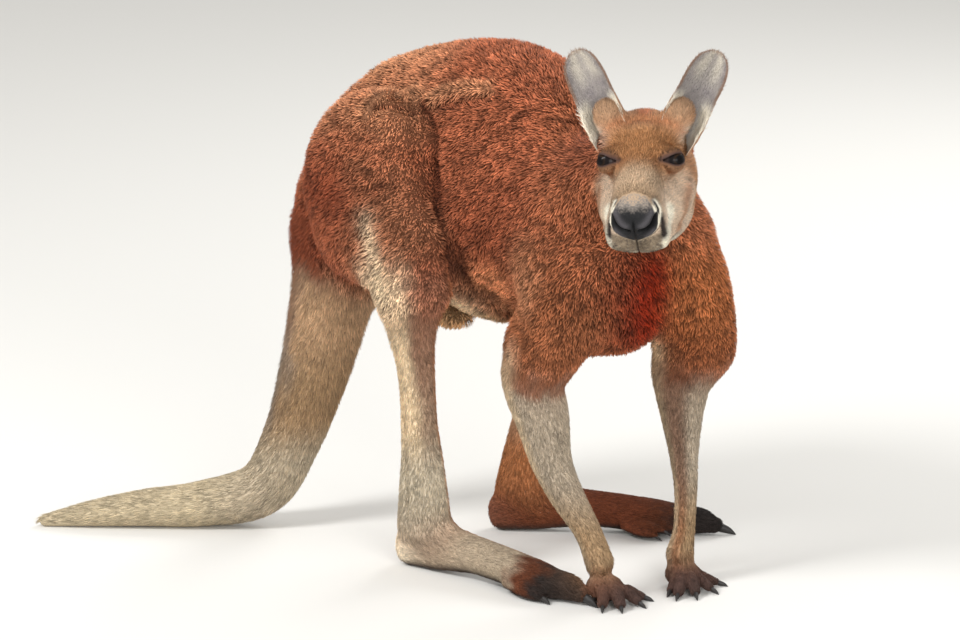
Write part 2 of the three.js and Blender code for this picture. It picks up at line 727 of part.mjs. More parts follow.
const tipCut = run(v(-400, -32, 50), v(-0.9, -0.44, -0.1), 330, 70, 70);
cutOff("tail_end", union(...tail), tipCut, [12, 5], "pale");
const bend = run(v(-298, 13, 215), v(-0.23, -0.06, -0.97), 260, 110, 135);
cutOff("tail_middle", union(...tail), bend, [15, 7], "pale", ["tail_end"]);
const rootCut = run(v(-256, 22, 395), v(-0.2, -0.04, -0.97), 240, 100, 95);
cutOff("tail_base", union(...torso), rootCut, [17, 8], "coat", ["tail_middle"]);
for (const s of SIDES) {
  const left = s === "left";
  const claws = toes(s).map(([, , c, d, , , r]) => [c.clone().lerp(d, 0.15), d, r]);
  cutOff(
    `foot_${s}`,
    union(...hind[s], ...toeShapes(s)),
    left ? upright(v(-140, 60, -40), v(340, 340, 92)) : upright(v(-170, -230, -40), v(330, -20, 92)),
    [9, 5.6],
    "dark",
    [],
    claws.map((c) => claw(...c, GAP)),
  );
  claws.forEach((c, i) => add(`claw_foot_${s}_${i + 1}`, claw(...c), "claw"));
  cutOff(
    `shank_${s}`,
    union(...hind[s]),
    left
      ? run(v(26, 212, 415), v(-29, -56, -323), 340, 75, 60)
      : run(v(-28, -160, 415), v(-8, 52, -323), 340, 75, 60),
    [12, 6],
    "pale",
    [`foot_${s}`],
  );
  cutOff(
    `thigh_${s}`,
    body,
    left ? upright(v(-215, 138, 380), v(64, 300, 700)) : upright(v(-240, -260, 380), v(34, -84, 700)),
    [20, 10],
    "coat",
    [`shank_${s}`],
  );
  const nails = fingers[s].map(([, , c, d]) => [v(...c).lerp(v(...d), 0.2), v(...d), 4.5]);
  cutOff(
    `paw_${s}`,
    union(...fore[s], ...handShape(s)),
    left ? upright(v(280, -110, -40), v(440, 80, 62)) : upright(v(215, -210, -40), v(380, -50, 62)),
    [6, 3.8],
    "dark",
    [],
    nails.map((c) => claw(...c, GAP)),
  );
  nails.forEach((c, i) => add(`claw_paw_${s}_${i + 1}`, claw(...c), "claw"));
  cutOff(
    `forearm_${s}`,
    union(...fore[s]),
    left ? upright(v(240, -70, 62.4), v(420, 100, 318)) : upright(v(90, -220, 62.4), v(330, -60, 318)),
    [11, 5.5],
    "pale",
  );
  cutOff(
    `upper_arm_${s}`,
    body,
    left
      ? run(v(352, 18, 440), v(-10, 8, -125), 150, 66, 80)
      : run(v(208, -152, 440), v(-32, 8, -121), 150, 62, 72),
    [14, 8],
    "coat",
    [`forearm_${s}`],
  );
}
const near = SIDES.flatMap((s) => [`thigh_${s}`, `shank_${s}`, `upper_arm_${s}`, `forearm_${s}`]);
const waist = upright(v(-420, -320, 290), v(460, 340, 860));
cutOff("trunk", body, waist, [22, 12], "coat", ["head", "neck", "tail_base", ...near]);

// Ears, seated on the head.
const scalp = meshWithin((x, y, z) => body(x, y, z) - 2 * GAP, napeCut, 9, 4);
for (const s of SIDES) add(`ear_${s}`, ear(s === "left" ? 1 : -1).subtract(scalp).subtract(skull), "ear");

// The origin is on the ground, under the middle of the animal.
const bounds = new THREE.Box3().setFromObject(group);
const shift = v(-(bounds.min.x + bounds.max.x) / 2, -(bounds.min.y + bounds.max.y) / 2, -bounds.min.z);
for (const mesh of group.children) mesh.geometry.translate(...shift);
export default group;
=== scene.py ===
"""A life-size red kangaroo on all fours: one skin, a coat of tufts, eyes, claws, floor, lights and camera.

The body is a smooth union of tubes and blobs, in millimetres in the body frame: +X from tail to chest,
+Y to the animal's left, +Z up, with its origin on the ground under the hips. Its surface is the outline
of the coat, and the skin lies inside it by the coat's depth.
"""

import math

import bmesh
import bpy
import numpy as np
from mathutils import Matrix, Vector


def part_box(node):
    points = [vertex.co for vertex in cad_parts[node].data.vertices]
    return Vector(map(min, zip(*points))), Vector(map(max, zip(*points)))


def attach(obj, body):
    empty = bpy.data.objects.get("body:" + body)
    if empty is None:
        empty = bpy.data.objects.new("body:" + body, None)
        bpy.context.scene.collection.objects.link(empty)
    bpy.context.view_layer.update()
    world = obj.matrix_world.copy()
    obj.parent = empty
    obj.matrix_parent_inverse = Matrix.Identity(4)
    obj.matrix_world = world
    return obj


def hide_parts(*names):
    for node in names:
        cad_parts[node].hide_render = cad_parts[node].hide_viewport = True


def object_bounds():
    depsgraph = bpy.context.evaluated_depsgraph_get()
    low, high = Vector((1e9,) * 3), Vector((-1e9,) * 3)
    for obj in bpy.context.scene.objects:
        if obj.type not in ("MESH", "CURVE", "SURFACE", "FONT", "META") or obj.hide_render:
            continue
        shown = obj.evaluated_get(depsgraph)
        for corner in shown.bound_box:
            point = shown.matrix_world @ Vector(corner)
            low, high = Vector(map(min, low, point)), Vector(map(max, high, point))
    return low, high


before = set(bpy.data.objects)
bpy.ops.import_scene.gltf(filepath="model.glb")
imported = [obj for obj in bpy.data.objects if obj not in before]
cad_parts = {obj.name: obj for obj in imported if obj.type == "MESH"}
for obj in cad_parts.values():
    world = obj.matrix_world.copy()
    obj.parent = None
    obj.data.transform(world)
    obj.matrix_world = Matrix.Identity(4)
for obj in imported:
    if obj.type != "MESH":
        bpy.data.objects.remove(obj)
cad_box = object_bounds()
rng = np.random.default_rng(11)
MM = 0.001
FLOOR = 3.0  # the ground's level in the body frame
UP = np.array([0.0, 0.0, 1.0])
LEFT = np.array([0.0, 1.0, 0.0])


# ---------------------------------------------------------------- small helpers
def vec(*xyz):
    return np.array(xyz, float)


def unit(a):
    return a / np.maximum(np.linalg.norm(a, axis=-1, keepdims=True), 1e-9)


def smooth(x, low, high):
    """0 below low, 1 above high, and a soft step between."""
    t = np.clip((x - low) / (high - low), 0, 1)
    return t * t * (3 - 2 * t)


def hump(d, width):
    """1 at distance 0, falling off over `width`."""
    return np.exp(-((d / width) ** 2))


def turned(roll, pitch, heading):
    """Rotation with roll about X first, then pitch about Y, then heading about Z, in degrees."""
    order = ((heading, "Z"), (pitch, "Y"), (roll, "X"))
    turns = [Matrix.Rotation(math.radians(angle), 3, axis) for angle, axis in order]
    return np.array(turns[0] @ turns[1] @ turns[2])


def noise(p, scale, seed=0):
    """Smooth value noise in -1..1 with features about `scale` millimetres across."""
    q = p / scale + 37.3 * seed
    cell = np.floor(q).astype(np.int64)
    t = q - cell
    t = t * t * (3 - 2 * t)
    total = np.zeros(len(p))
    for corner in range(8):
        step = np.array([corner & 1, corner >> 1 & 1, corner >> 2])
        k = cell + step
        n = (k[:, 0] * 73856093) ^ (k[:, 1] * 19349663) ^ (k[:, 2] * 83492791) ^ (seed * 2654435761)
        n = (n ^ (n >> 13)) * 1274126177 & 0x7FFFFFFF
        value = (n ^ (n >> 16)) % 65536 / 32767.5 - 1
        total += value * np.prod(np.where(step, t, 1 - t), axis=1)
    return total


# ---------------------------------------------------------------- curves and implicit shapes
def curve(stations, steps=5):
    """Rows along a smooth curve through the stations, `steps` to a stretch."""
    s = np.asarray(stations, float)
    s = np.vstack([2 * s[0] - s[1], s, 2 * s[-1] - s[-2]])
    t = np.arange(steps)[:, None] / steps
    rows = []
    for a, b, c, d in zip(s, s[1:], s[2:], s[3:]):
        cubic = (3 * b - a - 3 * c + d) * t**3 + (2 * a - 5 * b + 4 * c - d) * t**2
        rows.append((cubic + (c - a) * t + 2 * b) / 2)
    return np.vstack([*rows, s[-2:-1]])


def distance_to(line, p):
    """Distance from each point to a smooth line through a few points."""
    rows = curve(line, 6)
    squares = (rows**2).sum(1) - 2 * p @ rows.T
    return np.sqrt(np.maximum(0, squares.min(1) + (p**2).sum(1)))


def flat_distance(line, a, b):
    """Distance of points (a, b) of a plane from a smooth line in it."""
    rows = curve(line, 8)
    return np.sqrt(((a[:, None] - rows[:, 0]) ** 2 + (b[:, None] - rows[:, 1]) ** 2).min(1))


def marked(p, width, *places):
    """1 at a place, or along a smooth line through several places, falling off over `width`."""
    if len(places) == 1:
        return hump(np.linalg.norm(p - np.array(places[0], float), axis=1), width)
    return hump(distance_to(places, p), width)


class Tube:
    """A limb of elliptical sections. Each station is (point, half width, half depth).

    The half width is measured along `side`, or level across the curve when side is None.
    """

    def __init__(self, side, *stations, pear=0.0, steps=5):
        rows = curve([(*p, w, d) for p, w, d in stations], steps)
        self.at, self.wide, self.deep = rows[:, :3], rows[:, 3], rows[:, 4]
        self.pear = pear
        along = unit(np.gradient(self.at, axis=0))
        across = np.cross(UP, along) if side is None else np.tile(side, (len(rows), 1))
        self.across = unit(across - (across * along).sum(1)[:, None] * along)
        self.through = np.cross(along, self.across)
        self.centre = self.at[len(rows) // 2]
        reach = np.linalg.norm(self.at - self.centre, axis=1) + np.maximum(self.wide, self.deep)
        self.reach = reach.max()

    def near(self, p):
        squares = (self.at**2).sum(1) - 2 * p @ self.at.T
        closest = squares.argmin(1)
        best = np.full(len(p), np.inf)
        for shift in (-1, 0):
            i = np.clip(closest + shift, 0, len(self.at) - 2)
            a, b = self.at[i], self.at[i + 1]
            way = b - a
            t = np.clip(((p - a) * way).sum(1) / (way**2).sum(1), 0, 1)
            off = p - a - way * t[:, None]

            def mixed(rows):
                share = t if rows.ndim == 1 else t[:, None]
                return rows[i] * (1 - share) + rows[i + 1] * share

            x, y = (off * mixed(self.across)).sum(1), (off * mixed(self.through)).sum(1)
            h = mixed(self.deep)
            w = mixed(self.wide) * (1 - self.pear * np.clip(y / h, -1, 1))
            length2, level2 = (off**2).sum(1), x * x + y * y
            beyond2 = np.maximum(0, length2 - level2)
            level_q2 = (x / w) ** 2 + (y / h) ** 2
            share = level2 / np.maximum(length2, 1e-9)
            end = np.minimum(w, h) * (1 - share) + np.sqrt(level2 / np.maximum(level_q2, 1e-9)) * share
            q2 = level_q2 + beyond2 / np.maximum(end, 1) ** 2
            d = np.sqrt(length2) * (1 - 1 / np.sqrt(np.maximum(q2, 1e-8)))
            best = np.minimum(best, np.where(q2 > 1e-8, d, -np.minimum(w, h)))
        return best


class Blob:
    """An ellipsoid with the given half sizes along the columns of `axes`."""

    def __init__(self, centre, half, axes=np.eye(3)):
        self.centre, self.half, self.axes = np.asarray(centre, float), np.asarray(half, float), axes
        self.reach = self.half.max()

    def near(self, p):
        off = p - self.centre
        q = np.linalg.norm(off @ self.axes / self.half, axis=1)
        length = np.linalg.norm(off, axis=1)
        return np.where(q > 1e-4, length * (1 - 1 / np.maximum(q, 1e-4)), -self.half.min())


# ---------------------------------------------------------------- head frame
ROLL, PITCH, HEADING = 3, 18, -70  # how the head is turned, in degrees
EYE = {"forward": 2.0, "side": 45.0, "up": 0.0, "radius": 16.0}
HEAD = turned(ROLL, PITCH, HEADING)  # columns: forwards along the face, to its left, upwards
EYES = vec(360, -199, 680)  # midway between the eyes


def H(forward, left, up):
    """A point of the body frame, from its place on the head."""
    return HEAD @ vec(forward, left, up) + EYES


def middle(node):
    """The middle of a CAD node's box, in the row frame."""
    low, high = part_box(node)
    return np.array((low + high) / 2)


# The body frame's origin in the row frame, from where the eyes are.
ORIGIN = (middle("eye_left") + middle("eye_right")) / 2 - MM * H(EYE["forward"], 0, EYE["up"])


def to_body(p):
    return (p - ORIGIN) / MM


def to_row(p):
    return p * MM + ORIGIN


# ---------------------------------------------------------------- the body's shapes, by region
def trunk_shapes():
    yield Tube(
        None,
        (vec(-214, 20, 470), 88, 90),
        (vec(-186, 28, 542), 108, 122),
        (vec(-130, 34, 576), 126, 163),
        (vec(-50, 33, 580), 144, 197),
        (vec(50, 17, 574), 154, 210),
        (vec(130, -12, 560), 144, 194),
        (vec(190, -46, 528), 122, 158),
        (vec(238, -76, 485), 104, 124),
        pear=0.22,
        steps=18,
    ), 1
    yield Blob(vec(268, -78, 432), (62, 62, 62)), 40
    yield Blob(vec(-58, 25, 362), (38, 31, 27)), 22


def neck_shapes():
    stations = (vec(208, -56, 575), 108, 92), (vec(262, -84, 622), 100, 74), (vec(308, -104, 660), 84, 62)
    yield Tube(None, *stations, steps=10), 40


def tail_shapes():
    yield Tube(
        None,
        (vec(-235, 25, 470), 78, 84),
        (vec(-262, 20, 360), 66, 68),
        (vec(-293, 14, 238), 53, 56),
        (vec(-326, 5, 138), 45, 47),
        (vec(-366, -14, 63), 42, 44),
        (vec(-448, -56, 37), 38, 37),
        (vec(-520, -95, 31), 32, 31),
        (vec(-589, -134, 23), 23, 23),
        (vec(-655, -170, 12), 12, 12),
        steps=8,
    ), 60


# Each foot is laid out from the back of its heel: forwards, outwards and up.
FOOT = {
    "right": {"heel": vec(-97, -80, 0), "angle": -11.5, "out": -1},
    "left": {"heel": vec(-62, 132, 0), "angle": 22.5, "out": 1},
}


def on_foot(side, x, y, z):
    """A point of the body frame, from its place on a foot."""
    foot = FOOT[side]
    return turned(0, 0, foot["angle"]) @ vec(x, y * foot["out"], z) + foot["heel"]


def foot_side(side):
    return on_foot(side, 0, 1, 0) - FOOT[side]["heel"]


# Toes: root, knuckle, end of the flesh, then the radius at the root and at the end.
TOES = (
    ((280, 0, 26), (322, 0, 24), (346, 0, 18), 22, 15),
    ((235, 22, 22), (272, 32, 18), (296, 33, 14), 15, 11),
    ((225, -26, 26), (252, -36, 24), (270, -37, 19), 10, 7),
    ((215, -28, 22), (240, -42, 17), (258, -45, 13), 10, 7),
)


def foot_shapes(side):
    yield Tube(
        foot_side(side),
        (on_foot(side, 29, 0, 29), 25, 29),
        (on_foot(side, 80, 0, 40), 27, 38),
        (on_foot(side, 150, 0, 40), 26, 30),
        (on_foot(side, 215, 1, 34), 29, 28),
        (on_foot(side, 270, 2, 27), 34, 26),
        (on_foot(side, 300, 2, 22), 28, 20),
    ), 22
    for root, knuckle, end, thick, thin in TOES:
        a, b, c = (on_foot(side, *p) for p in (root, knuckle, end))
        yield Tube(foot_side(side), (a, thick, thick), (b, thick, thick), (c, thin, thin)), 8


HIP = {"right": vec(-128, -78, 568), "left": vec(-103, 133, 568)}
KNEE = {
    "right": (vec(-110, -108, 530), vec(-48, -146, 490), vec(-26, -160, 440)),
    "left": (vec(-80, 165, 530), vec(0, 200, 490), vec(26, 212, 440)),
}
KNEE_SIZES = ((66, 108), (54, 82), (44, 60))
SHANK_SIZES = ((42, 60), (33, 42), (27, 31), (24, 31), (23, 36), (24, 42), (27, 46))
SHANK = {
    "right": ((-28, -160, 440), (-32, -151, 377), (-31, -141, 321), (-33, -130, 240),
              (-33, -119, 174), (-36, -108, 114), (-40, -98, 69)),
    "left": ((26, 212, 440), (22, 200, 377), (18, 188, 321), (10, 174, 240),
             (4, 164, 174), (-3, 156, 114), (-8, 152, 69)),
}


def thigh_shapes(side):
    yield Blob(HIP[side], (120, 80, 148)), 30
    yield Tube(LEFT, *((p, *size) for p, size in zip(KNEE[side], KNEE_SIZES)), steps=12), 40


def shank_shapes(side):
    yield Tube(LEFT, *((p, *size) for p, size in zip(SHANK[side], SHANK_SIZES))), 25


UPPER_ARM = {
    "right": ((vec(212, -132, 490), 60, 78), (vec(206, -148, 433), 58, 62), (vec(179, -146, 376), 48, 54)),
    "left": ((vec(300, -72, 615), 60, 60), (vec(332, -28, 540), 54, 58), (vec(351, 2, 425), 58, 60),
             (vec(344, 12, 367), 50, 58)),
}
FOREARM = {
    "right": ((vec(179, -146, 376), 46, 54), (vec(160, -136, 322), 44, 48), (vec(171, -131, 267), 37, 42),
              (vec(185, -129, 205), 28, 33), (vec(205, -123, 158), 24, 28), (vec(236, -113, 102), 21, 22),
              (vec(254, -110, 58), 24, 22)),
    "left": ((vec(344, 12, 367), 48, 56), (vec(326, 13, 315), 43, 47), (vec(324, 13, 269), 32, 36),
             (vec(327, 14, 208), 22, 25), (vec(331, 15, 147), 18, 19), (vec(330, 13, 87), 17, 18),
             (vec(326, 8, 50), 23, 22)),
}
PALM = {"right": vec(266, -114, 22), "left": vec(335, 0, 22)}
# Fingers: root, knuckle, end of the flesh, then the radius.
FINGERS = {
    "right": (((258, -116, 20), (258, -126, 18), (261, -137, 12), 8),
              ((268, -124, 22), (277, -142, 21), (285, -161, 12), 11),
              ((276, -120, 22), (294, -135, 22), (308, -150, 12), 11.5),
              ((278, -114, 20), (300, -116, 20), (320, -121, 11), 10),
              ((276, -108, 18), (296, -100, 17), (314, -94, 10), 9)),
    "left": (((330, -2, 20), (334, -22, 19), (338, -46, 11), 9),
             ((334, -4, 22), (346, -28, 21), (355, -56, 12), 11),
             ((338, -2, 22), (358, -20, 21), (374, -40, 12), 11),
             ((340, 2, 20), (362, -4, 19), (382, -10, 11), 10),
             ((338, 8, 18), (358, 14, 17), (376, 22, 10), 9)),
}


def upper_arm_shapes(side):
    yield Tube(LEFT, *UPPER_ARM[side], steps=9), 45


def forearm_shapes(side):
    yield Tube(LEFT, *FOREARM[side]), 30


def paw_shapes(side):
    yield Blob(PALM[side], (28, 24, 21)), 14
    for root, knuckle, end, r in FINGERS[side]:
        yield Tube(UP, (root, r, r), (knuckle, r, r), (end, 0.8 * r, 0.8 * r)), 5


EAR_LENGTH = 118
EAR_TIP = {1: (-100, 111, 121), -1: (-100, -96, 121)}  # in the head frame, left and right


def ear_axes(side):
    """The ear's root, its direction, the way it opens and the way across it."""
    root, tip = H(-75, 50 * side, 13), H(*EAR_TIP[side])
    along = unit(tip - root)
    opens = HEAD @ vec(0.95, 0.1 * side, 0.4)
    opens = unit(opens - along * (opens @ along))
    return root, along, opens, np.cross(opens, along)


def head_shapes():
    left = HEAD[:, 1]
    yield Blob(H(-58, 0, -16), (62, 60, 55), HEAD), 30
    snout = ((-15, -12, 42, 36), (30, -17, 37, 34), (65, -25, 36, 31), (92, -31, 34, 30))
    cheeks = ((-58, -62, 72, 52), (-10, -64, 71, 46), (38, -62, 61, 37), (76, -58, 46, 31))
    jaw = ((-62, -96, 66, 32), (-12, -99, 65, 28), (40, -91, 55, 23), (76, -82, 37, 18))
    for rows, blend in ((snout, 24), (cheeks, 24), (jaw, 16)):
        yield Tube(left, *((H(x, 0, z), wide, deep) for x, z, wide, deep in rows), steps=12), blend
    for side in (1, -1):
        _, along, opens, across = ear_axes(side)
        yield Blob(H(-64, 49 * side, 31), (22, 25, 33), np.stack([opens, across, along], 1)), 20
        yield Blob(H(84, 25 * side, -73), (24, 21, 20), HEAD), 12


SIDES = ("right", "left")
REGIONS = {"trunk": trunk_shapes(), "neck": neck_shapes(), "tail": tail_shapes()}
for s in SIDES:
    REGIONS[f"thigh_{s}"] = thigh_shapes(s)
    REGIONS[f"shank_{s}"] = shank_shapes(s)
    REGIONS[f"foot_{s}"] = foot_shapes(s)
for s in SIDES:
    REGIONS[f"upper_arm_{s}"] = upper_arm_shapes(s)
    REGIONS[f"forearm_{s}"] = forearm_shapes(s)
    REGIONS[f"paw_{s}"] = paw_shapes(s)
REGIONS["head"] = head_shapes()
REGIONS = {name: list(shapes) for name, shapes in REGIONS.items()}
NAMES = list(REGIONS)
FAR = 1e4  # farther than any point of the body


def field(p):
    """The distance from each point to the outline, negative inside, and to each region's own shapes."""
    f = np.full(len(p), FAR)
    apart = np.full((len(p), len(NAMES)), FAR / 10)
    for i, name in enumerate(NAMES):
        for shape, blend in REGIONS[name]:
            rough = np.linalg.norm(p - shape.centre, axis=1) - shape.reach
            k = np.flatnonzero(rough < np.minimum(f, 60) + blend)
            if not len(k):
                continue
            d = shape.near(p[k])
            h = np.maximum(0, blend - np.abs(f[k] - d)) / blend
            f[k] = np.minimum(f[k], d) - h * h * blend / 4
            apart[k, i] = np.minimum(apart[k, i], d)
    return f, apart


def shares(apart, spread=14.0):
    """How much each point belongs to each region. The shares of a point add up to 1."""
    w = np.exp(-np.clip(apart - apart.min(1, keepdims=True), 0, 300) / spread)
    return w / w.sum(1, keepdims=True)


# The regions with the long, woolly coat.
WOOLLY = ("trunk", "thigh", "neck", "upper_arm")


def of(w, *names):
    """The summed share of every region whose name starts with one of the names."""
    return w[:, [i for i, n in enumerate(NAMES) if n.startswith(names)]].sum(1)


# ---------------------------------------------------------------- meshes as arrays
def arrays(mesh):
    """Points in the body frame and triangles of a mesh."""
    mesh.calc_loop_triangles()
    p = np.empty(len(mesh.vertices) * 3)
    mesh.vertices.foreach_get("co", p)
    t = np.empty(len(mesh.loop_triangles) * 3, np.int32)
    mesh.loop_triangles.foreach_get("vertices", t)
    return to_body(p.reshape(-1, 3)), t.reshape(-1, 3)


def new_mesh(name, points, faces):
    """A mesh from points in the body frame and faces that all have the same number of corners."""
    mesh = bpy.data.meshes.new(name)
    faces = np.asarray(faces, np.int32)
    count, corners = faces.shape
    mesh.vertices.add(len(points))
    mesh.vertices.foreach_set("co", to_row(points).astype(np.float32).ravel())
    mesh.loops.add(faces.size)
    mesh.loops.foreach_set("vertex_index", faces.ravel())
    mesh.polygons.add(count)
    mesh.polygons.foreach_set("loop_start", np.arange(0, faces.size, corners, dtype=np.int32))
    mesh.polygons.foreach_set("use_smooth", np.ones(count, bool))
    mesh.update(calc_edges=True)
    return mesh


def placed(name, data):
    """A new object in the scene."""
    piece = bpy.data.objects.new(name, data)
    bpy.context.scene.collection.objects.link(piece)
    return piece


def show(name, mesh, material, slot):
    """Adds a mesh to the scene as a piece of the animal."""
    piece = placed(name, mesh)
    mesh.materials.append(material)
    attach(piece, "root")
    return piece


def tint(mesh, colours):
    """Stores a linear colour for each vertex."""
    layer = mesh.color_attributes.new("tint", "FLOAT_COLOR", "POINT")
    rgba = np.ones((len(colours), 4), np.float32)
    rgba[:, :3] = colours
    layer.data.foreach_set("color", rgba.ravel())


def face_cross(p, t):
    """For each triangle, a vector along its normal that is twice as long as its area."""
    a, b, c = p[t[:, 0]], p[t[:, 1]], p[t[:, 2]]
    return np.cross(b - a, c - a)


def facing(p, t):
    """Vertex normals."""
    face = face_cross(p, t)
    sums = [sum(np.bincount(t[:, k], face[:, axis], len(p)) for k in range(3)) for axis in range(3)]
    return unit(np.stack(sums, 1))


def relax(p, t, n, strength):
    """Slides each vertex along the surface towards the middle of its neighbours."""
    a, b = t.ravel(), np.roll(t, -1, axis=1).ravel()
    count = np.bincount(a, minlength=len(p)) + np.bincount(b, minlength=len(p))
    sums = [np.bincount(a, p[b, k], len(p)) + np.bincount(b, p[a, k], len(p)) for k in range(3)]
    step = np.stack(sums, 1) / np.maximum(count, 1)[:, None] - p
    step -= (step * n).sum(1)[:, None] * n
    return p + strength * step


# ---------------------------------------------------------------- coat depth
def local(p):
    """Head coordinates: forwards, to the left and upwards from between the eyes."""
    return (p - EYES) @ HEAD


def coat_depth(p, w):
    """How far the skin lies inside the outline, in millimetres."""
    z = p[:, 2]
    x = local(p)[:, 0]
    depth = 10 * of(w, "trunk") + 9 * of(w, "neck", "thigh") + 8 * of(w, "upper_arm")
    depth += of(w, "tail") * (3.5 + 5 * smooth(z, 60, 400))
    depth += of(w, "forearm") * (3 + 3 * smooth(z, 330, 380))
    depth += of(w, "shank") * (3 + 4 * smooth(z, 280, 430))
    depth += 2.5 * of(w, "foot") + 1.5 * of(w, "paw")
    depth += of(w, "head") * (1.5 + 2 * smooth(-x, -60, 20) + 3.5 * smooth(-x, 20, 110))
    return depth


# ---------------------------------------------------------------- skin
def skin_field(p):
    """The distance from the skin, negative inside."""
    f, apart = field(p)
    return f + coat_depth(p, shares(apart))


def lattice(*counts):
    """Every index of a grid, one to a row."""
    return np.stack(np.meshgrid(*map(np.arange, counts), indexing="ij"), -1).reshape(-1, 3)


def grid_points(index, low, cell):
    return low + cell * np.asarray(index, float)


BLOCK = 4  # grid points to the side of a block that is first sampled once
CORNERS = lattice(2, 2, 2)  # of a cell of the grid


def sampled(low, counts, cell):
    """The skin's field on a grid of `counts` blocks: true near the skin and rough elsewhere."""
    coarse = lattice(*counts)
    rough = skin_field(grid_points(coarse * BLOCK + (BLOCK - 1) / 2, low, cell))
    values = rough.reshape(counts)
    for axis in range(3):
        values = values.repeat(BLOCK, axis=axis)
    near = coarse[np.abs(rough) < 1.5 * BLOCK * cell] * BLOCK
    nodes = (near[:, None] + lattice(BLOCK, BLOCK, BLOCK)).reshape(-1, 3)
    values[tuple(nodes.T)] = skin_field(grid_points(nodes, low, cell))
    return values


def skin_net(cell):
    """Points and four-sided faces of the skin: a point in each grid cell that the skin passes through."""
    low = to_body(np.array(cad_box[0])) - 3 * cell
    high = to_body(np.array(cad_box[1])) + 3 * cell
    counts = np.ceil((high - low) / (BLOCK * cell)).astype(int)
    values = sampled(low, counts, cell)
    inside = values < 0
    sizes = [n - 1 for n in values.shape]
    windows = [tuple(slice(start, start + n) for start, n in zip(c, sizes)) for c in CORNERS]
    total = sum(inside[window].astype(np.int8) for window in windows)
    crossed = np.argwhere((total > 0) & (total < 8))
    number = np.full(values.shape, -1, np.int32)
    number[tuple(crossed.T)] = np.arange(len(crossed))
    at_corner = np.stack([values[tuple((crossed + c).T)] for c in CORNERS], 1)
    place, hits = np.zeros((len(crossed), 3)), np.zeros(len(crossed))
    for a in range(8):
        for b in (a ^ 1, a ^ 2, a ^ 4):
            if b < a:
                continue
            fa, fb = at_corner[:, a], at_corner[:, b]
            cut = (fa < 0) != (fb < 0)
            t = np.where(cut, fa / np.where(cut, fa - fb, 1), 0)[:, None]
            place += cut[:, None] * (CORNERS[a] * (1 - t) + CORNERS[b] * t)
            hits += cut
    points = grid_points(crossed + place / hits[:, None], low, cell)
    faces = []
    for axis in range(3):
        step = np.eye(3, dtype=int)
        ahead = np.roll(inside, -1, axis=axis)
        edge = np.argwhere(inside != ahead)
        u, v = step[(axis + 1) % 3], step[(axis + 2) % 3]
        ring = [number[tuple((edge - d).T)] for d in (0 * u, u, u + v, v)]
        quad = np.stack(ring, 1)
        out = inside[tuple(edge.T)]
        quad[out] = quad[out][:, ::-1]
        faces.append(quad[:, ::-1])
    faces = np.vstack(faces)
    return points, faces[(faces >= 0).all(1)]


LONGEST_STEP = 8  # how far a round of fitting may move a point, in millimetres


def fit(p, t, rounds):
    """Moves the points onto the skin's surface and evens them out."""
    for _ in range(rounds):
        n = facing(p, t)
        f = skin_field(p)
        p = p - n * np.clip(0.9 * f, -LONGEST_STEP, LONGEST_STEP)[:, None]
        p = relax(p, t, n, 0.5)
    p[:, 2] = np.maximum(p[:, 2], FLOOR)
    return p


def refine(mesh, chosen):
    """Splits every edge whose two ends are chosen."""
    bm = bmesh.new()
    bm.from_mesh(mesh)
    edges = [e for e in bm.edges if chosen[e.verts[0].index] and chosen[e.verts[1].index]]
    bmesh.ops.subdivide_edges(bm, edges=edges, cuts=1, use_grid_fill=True)
    bm.to_mesh(mesh)
    bm.free()


# Folds of the body: a line on the coat's outline, how wide it is and how far it rises or sinks.
FOLDS = (
    (((-122, -126, 684), (-113, -103, 709), (-100, -74, 716), (-82, -56, 711), (-62, -66, 702)), 9, 8),
    (((-108, -116, 696), (-85, -100, 697), (-71, -90, 694), (-55, -84, 688)), 5, -9),
    (((-50, -68, 704), (-30, -67, 718), (9, -69, 729), (50, -74, 733)), 7, 8),
    (((-36, -77, 697), (-14, -77, 705), (7, -81, 709), (52, -80, 722)), 4.5, -10),
    (((-59, -68, 700), (-38, -83, 682), (-20, -98, 657), (-15, -112, 622)), 6, -10),
    (((-15, -112, 622), (-3, -130, 583), (15, -145, 542), (28, -143, 503)), 8, -11),
    (((28, -143, 503), (32, -119, 454), (52, -92, 416)), 16, -12),
    (((-12, 176, 640), (18, 196, 600), (44, 204, 540), (58, 196, 480)), 10, -10),
)


def creased(outline):
    """How deep in a fold's crease each point of the outline is, and how near a crest, both 0 to 1."""
    deep, crest = np.zeros(len(outline)), np.zeros(len(outline))
    for line, width, height in FOLDS:
        near = distance_to(line, outline)
        if height < 0:
            deep = np.maximum(deep, hump(near, width + 1))
        else:
            crest = np.maximum(crest, hump(near, width + 6))
    return deep, crest


# Bones and hollows of a foot, laid out as the foot is.
OUTER_ANKLE, INNER_ANKLE = (62, 24, 62), (66, -26, 60)
ARCH = ((110, 28, 8), (150, 27, 14), (195, 28, 10), (225, 30, 3))
KEEL_GROOVE = ((372, -122, 560), (352, -112, 500), (322, -100, 430))  # down the middle of the chest


